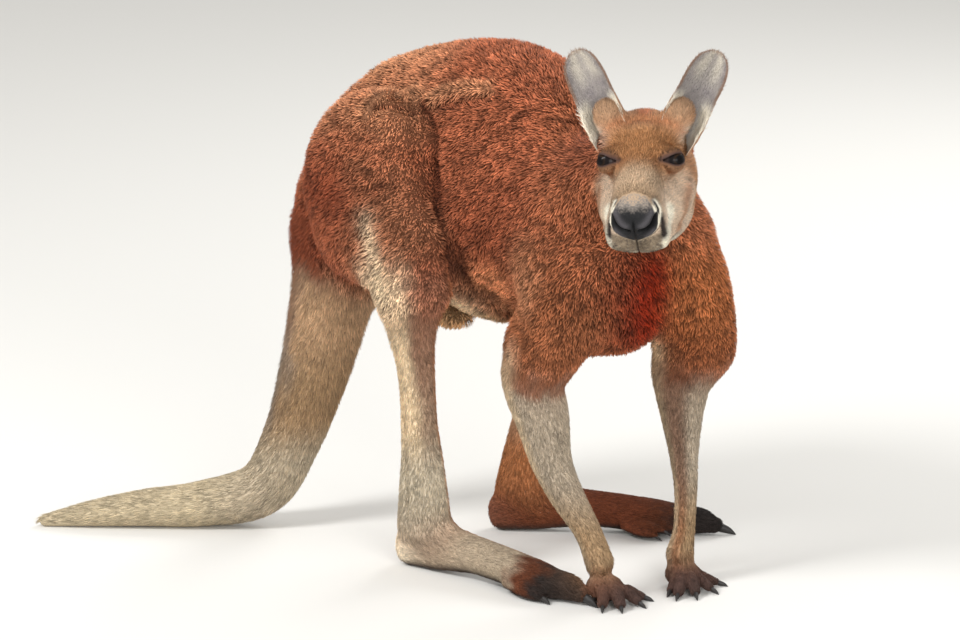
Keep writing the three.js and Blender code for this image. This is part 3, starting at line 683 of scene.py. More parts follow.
def carve_body(p, n, w):
    """Folds, tendons and bones of the body, as a height over the smooth skin."""
    rise = np.zeros(len(p))
    outline = p + n * coat_depth(p, w)[:, None]
    for line, width, height in FOLDS:
        rise += height * hump(distance_to(line, outline), width)
    for side in SIDES:
        z = p[:, 2]
        ahead = p[:, 0] - SHANK[side][0][0]
        outside = n[:, 1] * FOOT[side]["out"] > 0
        shank = of(w, f"shank_{side}") * smooth(-z, -330, -250) * smooth(z, 70, 110)
        rise -= 8 * shank * hump(ahead + 20 + 0.04 * (330 - z), 7) * outside
        rise -= 4 * shank * hump(ahead + 18, 8) * ~outside
        rise += 4 * marked(p, 15, on_foot(side, *OUTER_ANKLE))
        rise += 3 * marked(p, 14, on_foot(side, *INNER_ANKLE))
        rise -= 3 * marked(p, 8, *(on_foot(side, *q) for q in ARCH))
        rise += 4 * marked(p, 20, vec(*FOREARM[side][1][0]) - vec(38, 0, -10))
        rise += 2.5 * marked(p, 10, PALM[side] + vec(0, -14, 30))
        for _, knuckle, _, r in FINGERS[side]:
            rise += 1.6 * marked(p, 6, vec(*knuckle) + vec(0, 0, r))
    woolly = of(w, *WOOLLY)
    rise += woolly * (2.2 * noise(p, 46, 3) + 1.2 * noise(p, 21, 4))
    keel = smooth(p[:, 0], 230, 300) * of(w, "trunk", "neck", "upper_arm")
    return rise - 6 * keel * marked(p, 16, *KEEL_GROOVE)


# ---------------------------------------------------------------- face
BALL = EYE["radius"]
GAZE = unit(vec(0.50, 0.80, 0.33))  # where the left eye looks, in the head frame
ACROSS_EYE = vec(35, -31, 15)
SLIT = unit(ACROSS_EYE - GAZE * (GAZE @ ACROSS_EYE))  # from the outer to the inner corner of the lids
LID = np.cross(SLIT, GAZE)
SLIT_MIDDLE, SLIT_HALF = 3.4, 15.6  # along the slit from the eye's middle
CORNER_HEIGHT = 1.6  # of both corners over the eye's middle
LID_ARCH = 7.6  # how far each lid's edge stands from the line between the corners


def of_eye(q):
    """Mirrored head points as seen from the eye: towards its inner corner, up the lids, and outwards."""
    off = q - vec(EYE["forward"], EYE["side"], EYE["up"])
    return off @ SLIT, off @ LID, off @ GAZE


def opening(along, height):
    """How far inside the lids' opening a point is, negative outside."""
    share = (along - SLIT_MIDDLE) / SLIT_HALF
    arch = np.maximum(0, 1 - share**2)
    upper = CORNER_HEIGHT + LID_ARCH * arch**0.65
    lower = CORNER_HEIGHT - LID_ARCH * arch**0.8 * (1 + 0.2 * share)
    inside = np.minimum(upper - height, height - lower)
    past = -np.hypot((np.abs(share) - 1) * SLIT_HALF, height - CORNER_HEIGHT)
    return np.where(np.abs(share) < 1, inside, past)


def lid_height(radius, distance):
    """Height over the eye's middle of a ball of that radius, sinking to the cheek past its rim."""
    return np.sqrt(np.maximum(0, radius**2 - distance**2)) - 0.6 * np.maximum(0, distance - 0.97 * radius)


PAD_LEVELS = (-67, -63, -59, -54, -46, -38, -28, -18, -10, -5, -2, 1)  # heights on the nose pad
PAD_WIDTHS = (-5, 4, 13, 23, 31, 33.5, 33.5, 29, 23, 16, 8, -8)  # its half width at each of them
# On the pad, from the middle out: the nostril and the two ridges round it.
NOSTRIL = ((9, -44), (17, -42), (24, -37), (29, -28))
UPPER_WING = ((7, -37), (15, -35), (21, -30), (25, -22))
LOWER_WING = ((16, -52), (25, -46), (31, -37), (32, -28))
MOUTH = ((122, -84), (110, -86), (92, -89), (70, -91), (48, -89))  # forwards and up, from lips to corner
BESIDE_PAD = ((88, 30, -13), (91, 33, -25), (95, 36, -38), (98, 38, -50), (99, 38, -62))
UNDER_EYE = ((16, 43, -9), (11, 46, -21), (-2, 54, -31))
BROW_ARC = ((-40, 56, 8), (-36, 46, 24), (-35, 27, 31), (-35, 0, 33))
BEHIND_ARC = ((-50, 56, 10), (-48, 44, 26), (-49, 26, 34), (-50, 0, 36))
CHEEK_SCAR = ((-19, 60, -40), (-21, 63, -49))
# Relief of the face, in mirrored head points: height, width, and a place or a line of places.
FACE_RELIEF = (
    (2.0, 11, (106, 15, -74)),
    (-3.2, 5, *BESIDE_PAD),
    (4.0, 17, (93, 4, -93)),
    (4.5, 34, (-76, 0, 38)),
    (3.4, 13, (12, 42, 22)),
    (2.4, 11, (-4, 51, 20)),
    (-3.0, 11, (30, 33, -2)),
    (-3.0, 15, (-32, 56, 4)),
    (-1.8, 7, (26, 36, -12), (46, 38, -28), (66, 38, -40)),
    (2.2, 11, (4, 54, -20)),
    (-1.7, 5, *UNDER_EYE),
    (2.0, 6, *BROW_ARC),
    (-2.4, 5, *BEHIND_ARC),
    (-2.2, 3, *CHEEK_SCAR),
)


def on_pad(q):
    """How far inside the nose pad's outline a mirrored head point is, negative outside."""
    inside = np.interp(q[:, 2], PAD_LEVELS, PAD_WIDTHS) - q[:, 1]
    return np.where(q[:, 0] > 80, inside, -20)


def mouth_gap(q):
    """Height over the mouth line, and how much of the mouth there is at the point."""
    x, z = np.array(MOUTH[::-1]).T
    return q[:, 2] - np.interp(q[:, 0], x, z), smooth(q[:, 0], 44, 56)


def carve_face(q):
    """Height over the smooth skin of mirrored head points, for all but the lids."""
    x, y, z = q.T
    front = smooth(x, 80, 94)
    pad = on_pad(q)
    rise = 1.8 * smooth(pad, -0.6, 2.2) * smooth(-z, 2, 14)
    rise -= 1.6 * hump(pad + 2.2, 1.7) * front * smooth(-z, 12, 24)
    rise -= 9 * hump(flat_distance(NOSTRIL, y, z), 3.2) * front
    rise += 2.6 * hump(flat_distance(UPPER_WING, y, z), 4) * front
    rise += 2.2 * hump(flat_distance(LOWER_WING, y, z), 3.5) * front
    rise -= 2.0 * hump(y, 1.5) * front * smooth(-z, 22, 34)
    rise -= 1.2 * hump(y, 7) * smooth(x, -30, 0) * smooth(-x, -60, -20)
    above, mouth = mouth_gap(q)
    rise -= mouth * (3.2 * hump(above, 1.9) + 2.2 * smooth(-above, 0, 6) * smooth(above, -26, -8))
    for height, width, *places in FACE_RELIEF:
        rise += height * marked(q, width, *places)
    return rise


def carve_lids(q):
    """Moves mirrored head points onto the lids, and those in the opening behind the eyeball."""
    along, height, out = of_eye(q)
    distance = np.hypot(along - 1, height)
    near = (distance < 30) & (out > -18)
    inside = opening(along, height)
    lid = lid_height(BALL + 1.7, distance)
    lid = lid - 1.3 * hump(inside + 5.5, 1.6) * (height > 0) - 0.7 * hump(inside + 5, 1.5) * (height <= 0)
    blend = smooth(distance, 15, 27)
    step = (lid - out) * (1 - blend)
    raised = out + 0.5 * (step + np.sqrt(step**2 + (2.4 * (1 - blend)) ** 2))
    behind = np.minimum(raised, lid_height(BALL - 4, distance) - 2)
    share = smooth(inside, -0.2, 1.3)
    wanted = raised * (1 - share) + behind * share
    return q + np.where(near, wanted - out, 0)[:, None] * GAZE


def mirrored(p):
    """Head coordinates with the right half laid over the left, and each point's side."""
    q = local(p)
    side = np.where(q[:, 1] < 0, -1.0, 1.0)
    q[:, 1] *= side
    return q, side


def from_mirrored(q, side):
    """The inverse of mirrored: points of the body frame."""
    q = q.copy()
    q[:, 1] *= side
    return q @ HEAD.T + EYES


def carve(p, t, w):
    """The skin with all its relief."""
    n = facing(p, t)
    rise = carve_body(p, n, w)
    head = smooth(of(w, "head"), 0.25, 0.75)
    q, _ = mirrored(p)
    rise += head * carve_face(q)
    p = p + n * rise[:, None]
    face = head > 0.5
    q, side = mirrored(p[face])
    p[face] = from_mirrored(carve_lids(q), side)
    p[:, 2] = np.maximum(p[:, 2], FLOOR)
    return p


# ---------------------------------------------------------------- ears
EAR_BED = 17  # how far the leaf's axis stands out from the line from root to tip
# Along the ear from its root: radius of the rolled leaf and half the angle it wraps.
EAR = ((-0.25, 27, 1.9), (-0.08, 29, 1.8), (0.1, 30, 1.65), (0.28, 30, 1.45), (0.46, 30, 1.28),
       (0.64, 31, 1.18), (0.78, 31, 1.08), (0.88, 30, 0.88), (0.95, 28, 0.6), (1, 26, 0.2))


def ear_mesh(side, rows=56, columns=36):
    """Points and faces of one ear, and each point's share of the way up, its place across and its side."""
    root, along, opens, across = ear_axes(side)
    at = np.linspace(EAR[0][0], 0.995, rows)
    table = curve(EAR, 8)
    radius = np.interp(at, table[:, 0], table[:, 1])
    angle = np.interp(at, table[:, 0], table[:, 2])
    turn = np.linspace(-1, 1, columns)
    points, marks = [], []
    for leaf in (1, -1):
        rim = np.sqrt(np.maximum(0, 1 - np.abs(turn) ** 5))
        for t, r, half in zip(at, radius, angle):
            at_tip = 1 if t < 0.97 else 0.5
            thick = leaf * (0.25 + 1.25 * rim * (1 + 0.5 * (1 - t))) * at_tip
            a = turn[::leaf] * half
            ripple = 0.8 * np.sin(9 * t + 3 * a) * smooth(t, 0.3, 1)
            sweep = r + thick + ripple - 0.6
            p = root + along * EAR_LENGTH * t + across * (sweep * np.sin(a))[:, None]
            p = p + opens * (EAR_BED + 0.05 * r - sweep * np.cos(a))[:, None]
            points.append(p)
            marks.append(np.stack([np.full(columns, t), turn[::leaf], np.full(columns, float(leaf))], 1))
    points = np.array(points).reshape(2, rows, columns, 3)
    marks = np.array(marks).reshape(2, rows, columns, 3)
    loop = np.concatenate([points[0], points[1]], 1)
    loop_marks = np.concatenate([marks[0], marks[1]], 1).reshape(-1, 3)
    width = 2 * columns
    i = np.arange(rows - 1)[:, None] * width
    j = np.arange(width)[None]
    k = (j + 1) % width
    quads = np.stack([i + j, i + k, i + width + k, i + width + j], -1).reshape(-1, 4)
    caps = []
    for row, flip in ((0, True), (rows - 1, False)):
        for c in range(columns - 1):
            quad = [row * width + k for k in (c, c + 1, width - 2 - c, width - 1 - c)]
            caps.append(quad[::-1] if flip else quad)
    quads = np.vstack([quads, caps])
    return loop.reshape(-1, 3), quads, loop_marks


# ---------------------------------------------------------------- colours, linear
RED = vec(0.41, 0.126, 0.058)
SUNLIT = vec(0.61, 0.285, 0.145)
DEEP_RED = vec(0.21, 0.048, 0.02)
CHEST_RED = vec(0.26, 0.018, 0.004)
SHOULDER = vec(0.45, 0.155, 0.069)
NECK = vec(0.31, 0.095, 0.047)
BELLY = vec(0.62, 0.42, 0.2)
TAN = vec(0.33, 0.14, 0.082)
CREAM = vec(0.8, 0.62, 0.41)
TAIL_BASE = vec(0.62, 0.4, 0.235)
TAIL_MIDDLE = vec(0.45, 0.29, 0.16)
TAIL_BACK = vec(0.30, 0.27, 0.25)
TAIL_GREY = vec(0.57, 0.47, 0.34)
TAIL_END = vec(0.58, 0.48, 0.325)
SHANK_FRONT = vec(0.54, 0.385, 0.265)
SHANK_LOW = vec(0.72, 0.63, 0.48)
RUSTY = vec(0.24, 0.072, 0.026)
FOOT_TAN = vec(0.42, 0.335, 0.24)
ARM = vec(0.33, 0.114, 0.047)
DARK = vec(0.024, 0.018, 0.016)
FOREARM_PALE = vec(0.5, 0.41, 0.31)
WRIST = vec(0.45, 0.3, 0.17)
PAW = vec(0.078, 0.048, 0.04)
CROWN = vec(0.52, 0.255, 0.125)
FOREHEAD = vec(0.45, 0.212, 0.088)
FACE = vec(0.6, 0.425, 0.28)
SNOUT = vec(0.41, 0.275, 0.165)
MUZZLE_WHITE = vec(0.82, 0.76, 0.62)
LIPS = vec(0.24, 0.185, 0.125)
MOUND = vec(0.42, 0.255, 0.15)
EAR_TUFT = vec(0.86, 0.78, 0.64)
PAD_GREY = vec(0.27, 0.232, 0.2)
PAD_DARK = vec(0.01, 0.01, 0.011)
EAR_INSIDE = vec(0.32, 0.29, 0.272)
LID_EDGE = vec(0.016, 0.011, 0.010)
LID_SKIN = vec(0.070, 0.036, 0.028)


def mix(colours, other, share):
    """Shifts each colour towards another by its share, 0 to 1."""
    share = np.clip(share, 0, 1)[:, None]
    return colours * (1 - share) + other * share


def evenly(colour, p):
    """One colour or direction for all the points."""
    return np.tile(colour, (len(p), 1))


def with_marks(c, p, marks):
    """Colours with spots and lines over them: a row of marks is a colour, its strength and its shapes."""
    for colour, strength, *shapes in marks:
        c = mix(c, colour, sum(marked(p, *shape) for shape in shapes) * strength)
    return c


# Marks by part: a colour and its strength, then each spot's or line's width and place or places.
CHEST_MARKS = ((CHEST_RED, 1, (62, (330, -95, 420)), (42, (338, -104, 492))),)
BELLY_MARKS = (
    (SUNLIT * vec(1.1, 0.9, 0.8), 0.8, (44, (55, -102, 440)), (34, (90, -125, 450))),
    (CREAM * 1.1, 1.1, (44, (-2, -70, 393))),
    (CREAM * 0.8, 0.8, (26, (306, -39, 364))),
    (CREAM * vec(0.85, 0.65, 0.5), 1.2, (70, (-48, 8, 352))),
)
CALF_MARKS = ((CREAM, 0.85, (17, (-96, -181, 542), (-84, -187, 513), (-68, -199, 477), (-58, -203, 440))),)
RUMP_MARKS = (
    (DEEP_RED, 0.75, (50, (-143, -172, 559)), (50, (-205, -138, 560))),
    (RED * 0.95, 0.7, (62, (-175, -150, 480))),
)
HEAD_MARKS = (
    (MOUND, 0.95, (24, (-60, 48, 38)), (20, (-68, 60, 56))),
    (EAR_TUFT, 1.1, (13, (-50, 63, 8))),
    (FOREHEAD * vec(1.2, 1.35, 1.6), 0.6, (5, (-40, 56, 8), (-35, 46, 25), (-33, 27, 31), (-33, 0, 33))),
    (CROWN * vec(1.0, 0.8, 0.7), 0.6, (7, (-52, 56, 10), (-49, 44, 27), (-49, 26, 34), (-50, 0, 36))),
    (CROWN * vec(0.9, 0.45, 0.35), 0.75, (7, (-82, 6, 30), (-66, 2, 34), (-64, 0, 34))),
    (FOREHEAD * vec(0.8, 0.6, 0.5), 0.6, (12, (24, 30, 14)), (8, (6, 40, 30))),
    (FOREHEAD * vec(1.1, 1.3, 1.5), 0.5, (9, (-6, 50, 24))),
    (RUSTY * vec(1.5, 1.8, 2.2), 0.75, (9, (8, 52, -17)), (6, (16, 42, -10))),
    (FACE * vec(0.55, 0.52, 0.62), 0.6, (6, (22, 29, 14))),
    (DARK * 6, 0.85, (3, *CHEEK_SCAR)),
    (RUSTY * vec(1.7, 2.3, 2.6), 0.7,
     (11, (-4, 64, -50), (21, 61, -56), (37, 59, -70), (46, 53, -84), (50, 48, -98))),
    (FACE * vec(1.1, 1.15, 1.2), 0.6, (4, (-30, 66, -66), (-14, 63, -88), (0, 54, -110))),
    (MUZZLE_WHITE * 1.1, 1.3,
     (8, (60, 45, -42), (72, 44.5, -49), (86, 44, -57), (97, 42, -65), (102, 38, -76), (98, 34, -86))),
)
SLEEVE = {"right": 322, "left": 326}  # heights at which the shoulder's long coat ends


def paint_trunk(p, n, w, folds):
    """The colour of the trunk, neck and thighs, from points of the coat's outline."""
    x, y, z = p.T
    c = evenly(RED, p)
    patch = noise(p, 70, 5)
    c = mix(c, DEEP_RED, smooth(-z, -680, -500) * 0.65 + 0.18 * patch)
    c = mix(c, RED * vec(1.1, 1.3, 1.25), smooth(-z, -470, -420) * smooth(x, -40, 40) * 0.8)
    c = mix(c, SUNLIT, smooth(n[:, 2], 0.1, 0.8) * smooth(-x, -10, 110) * (0.75 + 0.3 * patch))
    c = mix(c, SHOULDER, smooth(x, 120, 230) * smooth(z, 430, 560) * 0.8)
    chest = smooth(x + 0.4 * n[:, 0] * 60, 280, 345) * smooth(-z, -660, -560)
    c = mix(c, DEEP_RED, chest * 0.8)
    c = with_marks(c, p, CHEST_MARKS)
    c = mix(c, NECK, of(w, "neck") * smooth(z, 600, 690))
    under = smooth(-n[:, 2], 0.55, 0.95) * smooth(-z, -440, -400)
    below = smooth(-x, -90, -30) * smooth(-np.abs(y), -95, -60) * of(w, "trunk", "thigh")
    c = mix(c, BELLY, under * below * 0.85)
    c = with_marks(c, p, BELLY_MARKS)
    thigh = of(w, "thigh")
    c = mix(c, TAN * vec(1.2, 1.1, 0.93), thigh * smooth(-z - 0.25 * x, -625, -545) * smooth(x, -170, -120))
    calf = smooth(-z + 14 * noise(p, 26, 6), -500, -440) * smooth(-x, -12, 16) * smooth(x, -130, -95)
    c = mix(c, CREAM * 1.1, thigh * calf * 0.95)
    c = with_marks(c, p, CALF_MARKS)
    knee = thigh * smooth(x + 16 * noise(p, 14, 7), -12, 14) * smooth(-z, -540, -450)
    c = mix(c, DEEP_RED * vec(1.5, 1.1, 0.8), knee * 0.85)
    c = with_marks(c, p, RUMP_MARKS)
    woolly = of(w, "trunk", "neck", "thigh")
    streaks = noise(p * vec(1, 1, 0.35), 9, 60) * noise(p, 55, 61)
    c = mix(c, DEEP_RED * 0.6, woolly * smooth(np.abs(streaks), 0.18, 0.5) * 0.55)
    deep, crest = folds
    # painted light on the folds' crests and painted shade in their creases
    c = mix(c, SUNLIT * 0.95, crest * (1 - deep) * 0.8)
    return mix(c, DEEP_RED * 0.3, deep * 0.85)


def paint_tail(p, n):
    """The colour of the tail: red at its root, then pale, brown and grey down to a pale end."""
    x, _, z = p.T
    c = evenly(TAIL_BASE, p)
    c = mix(c, TAIL_MIDDLE, smooth(-z, -330, -230))
    grey = smooth(-n[:, 0] + 0.3 * noise(p, 30, 17), 0.1, 0.8) * smooth(z, 120, 190)
    c = mix(c, TAIL_BACK, grey * 0.6)
    c = mix(c, TAIL_MIDDLE * vec(0.7, 0.5, 0.42), (grey > 0) * smooth(z, 280, 350) * grey * 0.7)
    c = mix(c, TAIL_GREY, smooth(-z, -190, -110))
    c = mix(c, TAIL_END, smooth(-x, 350, 450))
    return mix(c, DEEP_RED * 1.3, smooth(z + 16 * noise(p, 30, 11), 395, 440))


def paint_shank(p, n, side):
    """The colour of a shank: pale behind and low down, brown in front, rusty on its inner side."""
    z = p[:, 2]
    inner = smooth(-n[:, 1] * FOOT[side]["out"], -0.15, 0.75)
    line = np.array(SHANK[side], float)[::-1]
    behind = smooth(np.interp(z, line[:, 2], line[:, 0]) - p[:, 0] + 6 * noise(p, 24, 15), -24, -2)
    mottled = 0.85 + 0.3 * noise(p, 7, 18)[:, None]
    c = mix(SHANK_FRONT * mottled, CREAM * 1.15, behind * smooth(z, 100, 220))
    c = mix(c, SHANK_LOW, smooth(-z, -240, -150) * 0.85)
    c = mix(c, TAN * vec(1.1, 1.25, 1.3), (1 - behind) * smooth(z + 12 * noise(p, 16, 19), 180, 390) * 0.8)
    c = mix(c, RUSTY * vec(2.4, 2.8, 2.2), inner * (0.9 - 0.7 * behind * smooth(z, 120, 230)))
    # painted shade in the slot between the tendon and the bone, at the top of the shank's back
    top = vec(*SHANK[side][0]) + vec(-12, 20 * FOOT[side]["out"], 0)
    slot = marked(p, 6, top + vec(0, 0, 6), top + vec(-3, -2, -36))
    return mix(c, DEEP_RED, slot * 0.8)


# The inner side of each foot: its colour, how much facing up adds, and between which slopes it sets in.
FOOT_INNER = {
    "right": (RUSTY * 1.2, -0.2, -0.1, 0.6),
    # the left foot's inner side is painted darker than the right's: painted shade
    "left": (RUSTY * vec(0.68, 0.48, 0.4), 0.6, -0.3, 0.3),
}


def paint_foot(p, n, side):
    """The colour of a foot: pale at the heel, rusty on its inner side, dark at the toes and below."""
    along = (p - FOOT[side]["heel"]) @ turned(0, 0, FOOT[side]["angle"])[:, 0]
    colour, upwards, low, high = FOOT_INNER[side]
    inner = smooth(-n[:, 1] * FOOT[side]["out"] + upwards * n[:, 2], low, high)
    c = mix(evenly(FOOT_TAN, p), SHANK_LOW * 1.5, smooth(-along, -80, 0))
    c = mix(c, colour, inner * 0.95)
    c = mix(c, RUSTY * vec(0.52, 0.52, 0.6), smooth(along + 14 * noise(p, 12, 14), 218, 262))
    c = mix(c, DARK, smooth(along + 16 * noise(p, 10, 8), 258, 306))
    sole = smooth(-n[:, 2], 0.3, 0.8) * smooth(-p[:, 2], -30, -12)
    return mix(c, DARK * 1.5, sole * 0.9)


def paint_arm(p, n, side):
    """Colours of an upper arm, a forearm and a paw."""
    z = p[:, 2]
    cuff = z + 17 * noise(p, 18, 9) - SLEEVE[side]
    elbow = smooth(-n[:, 0], 0.1, 0.6) * smooth(-cuff, -80, -30) * 0.8
    upper = mix(evenly(SHOULDER, p), ARM, smooth(-z, -560, -470))
    upper = mix(upper, SUNLIT, smooth(-n[:, 0], -0.05, 0.5) * smooth(z, 400, 470) * 0.7)
    upper = mix(upper, CREAM, elbow)
    upper = mix(upper, TAN * 1.2, smooth(-cuff, -45, 6) * 0.7)
    lower = mix(evenly(FOREARM_PALE, p), WRIST, smooth(-z, -190, -90))
    lower = mix(lower, RUSTY * 1.5, smooth(-n[:, 0] * 0.7 - n[:, 1] * FOOT[side]["out"], 0.2, 0.9) * 0.5)
    lower = mix(lower, TAN, smooth(cuff, -16, 6) * 0.8)
    lower = mix(lower, ARM * 0.95, smooth(cuff, -4, 40))
    lower = mix(lower, CREAM, elbow)
    if side == "left":
        shaded = smooth(-n[:, 1] - 1.2 * n[:, 0], -0.2, 0.5) * smooth(z, 90, 200)
        lower = mix(lower, lower * 0.66, shaded)
        upper = upper * (1 + vec(0.4, 0.35, 0.15) * smooth(-z, -560, -480)[:, None])
    else:
        upper = upper * 0.95
    paw = mix(evenly(PAW, p), WRIST * 0.6, smooth(z, 30, 60))
    return upper, lower, paw


def paint_body(p, n, w, folds):
    """The colour of the skin and coat away from the head."""
    c = paint_trunk(p, n, w, folds)
    c = mix(c, paint_tail(p, n), of(w, "tail"))
    for side in SIDES:
        c = mix(c, paint_shank(p, n, side), of(w, f"shank_{side}"))
        c = mix(c, paint_foot(p, n, side), of(w, f"foot_{side}"))
        for name, colour in zip(("upper_arm", "forearm", "paw"), paint_arm(p, n, side)):
            c = mix(c, colour, of(w, f"{name}_{side}"))
    return c


def paint_head(q):
    """The colour of the head, from mirrored head points."""
    x, y, z = q.T
    c = evenly(FOREHEAD, q)
    c = mix(c, CROWN, smooth(-x + 0.3 * z, 36, 56))
    c = mix(c, FACE, smooth(x - 0.35 * z, 8, 52))
    c = mix(c, FACE * vec(1.2, 1.3, 1.45), smooth(-z, 0, 40) * smooth(x, -50, 0))
    c = mix(c, SNOUT, smooth(x, 58, 90) * smooth(z, -40, -20) * 0.8)
    c = mix(c, CROWN * vec(1.15, 1.2, 1.15), smooth(-x, 40, 90) * smooth(-z, 10, 60) * 0.8)
    c = mix(c, NECK * 0.95, smooth(-x, 75, 120))
    c = with_marks(c, q, HEAD_MARKS)
    c = mix(c, MUZZLE_WHITE * 0.85, smooth(-z, 84, 93) * smooth(x, 20, 60))
    lips = smooth(x, 84, 98) * smooth(-z, 52, 60) * smooth(-y, -38, -31)
    c = mix(c, LIPS, lips * 0.9)
    c = mix(c, DARK * 4, lips * smooth(noise(q, 2.4, 12), 0.25, 0.7) * 0.75)
    c = mix(c, MUZZLE_WHITE, lips * smooth(-noise(q, 1.8, 16), 0.45, 0.85) * 0.5)
    # the dark streak beside the pad: partly the muzzle's dark marking, partly painted shade in the groove
    # there
    return mix(c, DARK * 1.4, marked(q, 6, *BESIDE_PAD) * 1.4)


# Where a highlight is painted on the nose pad: on its upper wing and under the nostril.
SHINES = (((12, -36), (20, -28), (26, -20)), 6), (((17, -55), (27, -46)), 4)


def paint_nose(q, c):
    """Nose pad and mouth over the colours of the face's coat, and how bare each point is. Shade in the
    nostrils, grooves, lip cleft and mouth line and a highlight on the pad are painted.
    """
    x, y, z = q.T
    front = smooth(x, 76, 88)
    pad = on_pad(q)
    on = smooth(pad, -0.8, 0.8)
    speckle = noise(q, 2.0, 13)
    leather = mix(evenly(PAD_DARK, q), PAD_GREY, smooth(z + 5 * speckle, -20, -4) * 0.9)
    shine = sum(hump(flat_distance(line, y, z), width) for line, width in SHINES)
    # a painted highlight on the pad
    leather = mix(leather, PAD_GREY * vec(0.3, 0.32, 0.4), shine * 0.6)
    leather = mix(leather, c, smooth(z + 6 * speckle, -9, 1) * 0.9)
    leather = mix(leather, PAD_DARK, hump(np.hypot(y - 7, z + 19), 7) * 0.9)
    # painted shade in the nostrils and in the groove down the middle of the pad
    leather = mix(leather, PAD_DARK * 0.5, hump(flat_distance(NOSTRIL, y, z), 5))
    leather = mix(leather, PAD_DARK * 0.4, hump(y, 1.8) * smooth(-z, 20, 34))
    c = mix(c, leather, on)
    rim = hump(pad + 0.6, 1.1) * front
    c = mix(c, MUZZLE_WHITE, rim * smooth(-z, 10, 18) * smooth(y, 8, 14) * 1.1)
    # painted shade in the groove between the pad's rim and the lips
    gap = hump(pad + 3.4, 1.2) * front * smooth(-z, 44, 50) * smooth(y, 12, 18)
    c = mix(c, DARK, gap)
    # painted shade standing for the cleft of the upper lip
    cleft = hump(y, 1.6) * front * smooth(-z, 55, 64)
    c = mix(c, DARK, cleft)
    above, mouth = mouth_gap(q)
    # painted shade along the mouth line
    c = mix(c, DARK * 1.5, mouth * hump(above, 1.6))
    return c, np.maximum(on, np.maximum(cleft, smooth(gap, 0.3, 0.7)))


def paint_lids(q, c):
    """The lids and the corner of the eye over the colours of the face, and how bare each point is."""
    along, height, out = of_eye(q)
    near = (np.hypot(along, height) < 28) & (out > -14)
    inside = np.where(near, opening(along, height), -30)
    rim = smooth(inside, -2.8, -1.3)
    tear = hump(height - 0.25 * (along - 16) - 2.2, 1.2) * (out > -14)
    tear *= smooth(along, 15, 18) * smooth(-along, -26, -21)
    c = mix(c, LID_EDGE, np.maximum(rim, tear * 0.8))
    lids = np.where(height > 0, 0.9, 0.75) * hump(inside + 2.6, 3.4) * near
    return mix(c, LID_SKIN, lids * smooth(along, -18, -6)), rim


def paint(p, n, w, folds):
    """The colour of each point of the skin, and how bare it is."""
    c = paint_body(p + n * coat_depth(p, w)[:, None], n, w, folds)
    q, _ = mirrored(p)
    head = smooth(of(w, "head"), 0.2, 0.8)
    face, nose = paint_nose(q, paint_head(q))
    face, lids = paint_lids(q, face)
    return mix(c, face, head), np.maximum(nose, lids) * (head > 0.5)


# ---------------------------------------------------------------- the unwrap that skin and coat share
GAP = 0.008  # between two charts, as a share of the unwrap's width
SCALE = 4.0  # the unwrap's first scale, tried smaller until every chart fits


def unwrap(points, charts):
    """Places in the unit square: each chart is laid flat along its own axis, and the charts are packed.

    A chart's number is six times its region's, plus twice its axis, plus 1 where it faces forwards on it.
    """
    names, index = np.unique(charts, return_inverse=True)
    keep = np.array([(1, 2), (0, 2), (0, 1)])[names % 6 // 2][index]
    flat = np.take_along_axis(points * MM, keep, axis=1)
    low = np.full((len(names), 2), 1e9)
    high = -low
    np.minimum.at(low, index, flat)
    np.maximum.at(high, index, flat)
    size = high - low
    scale = SCALE
    while True:
        corner = np.zeros((len(names), 2))
        across, shelf, shelf_height = GAP, GAP, 0.0
        for i in np.argsort(-size[:, 1]):
            wide, tall = size[i] * scale + GAP
            if across + wide > 1:
                across, shelf, shelf_height = GAP, shelf + shelf_height, 0.0
            corner[i] = across, shelf
            across += wide
            shelf_height = max(shelf_height, tall)
        if shelf + shelf_height < 1 and size.max() * scale < 1 - 3 * GAP:
            return corner[index] + (flat - low[index]) * scale
        scale *= 0.96


def chart_of(n, region):
    """The chart of each face, from its normal and its region's number."""
    axis = np.abs(n).argmax(1)
    return region * 6 + axis * 2 + (n[np.arange(len(n)), axis] > 0)


def set_uv(mesh, uv):
    """Stores a place on the unwrap for each corner."""
    layer = mesh.uv_layers.new(name="OFBake")
    layer.data.foreach_set("uv", np.asarray(uv, np.float32).ravel())


# ---------------------------------------------------------------- the lie of the coat
def tube_way(tube, p, backwards):
    """The direction along a tube at the points."""
    nearest = ((tube.at**2).sum(1) - 2 * p @ tube.at.T).argmin(1)
    way = unit(np.gradient(tube.at, axis=0))[nearest]
    return -way if backwards else way


def main_tube(name):
    """The first tube of a region."""
    return next(shape for shape, _ in REGIONS[name] if isinstance(shape, Tube))


def waves(p, scale, seed):
    """A smooth random vector at each point."""
    return np.stack([noise(p, scale, seed + k) for k in range(3)], 1)


PAW_WAY = {"right": vec(0.8, -0.6, -0.6), "left": vec(0.7, -0.55, -0.6)}
THIGH_WAY = vec(-0.35, 0, -1)


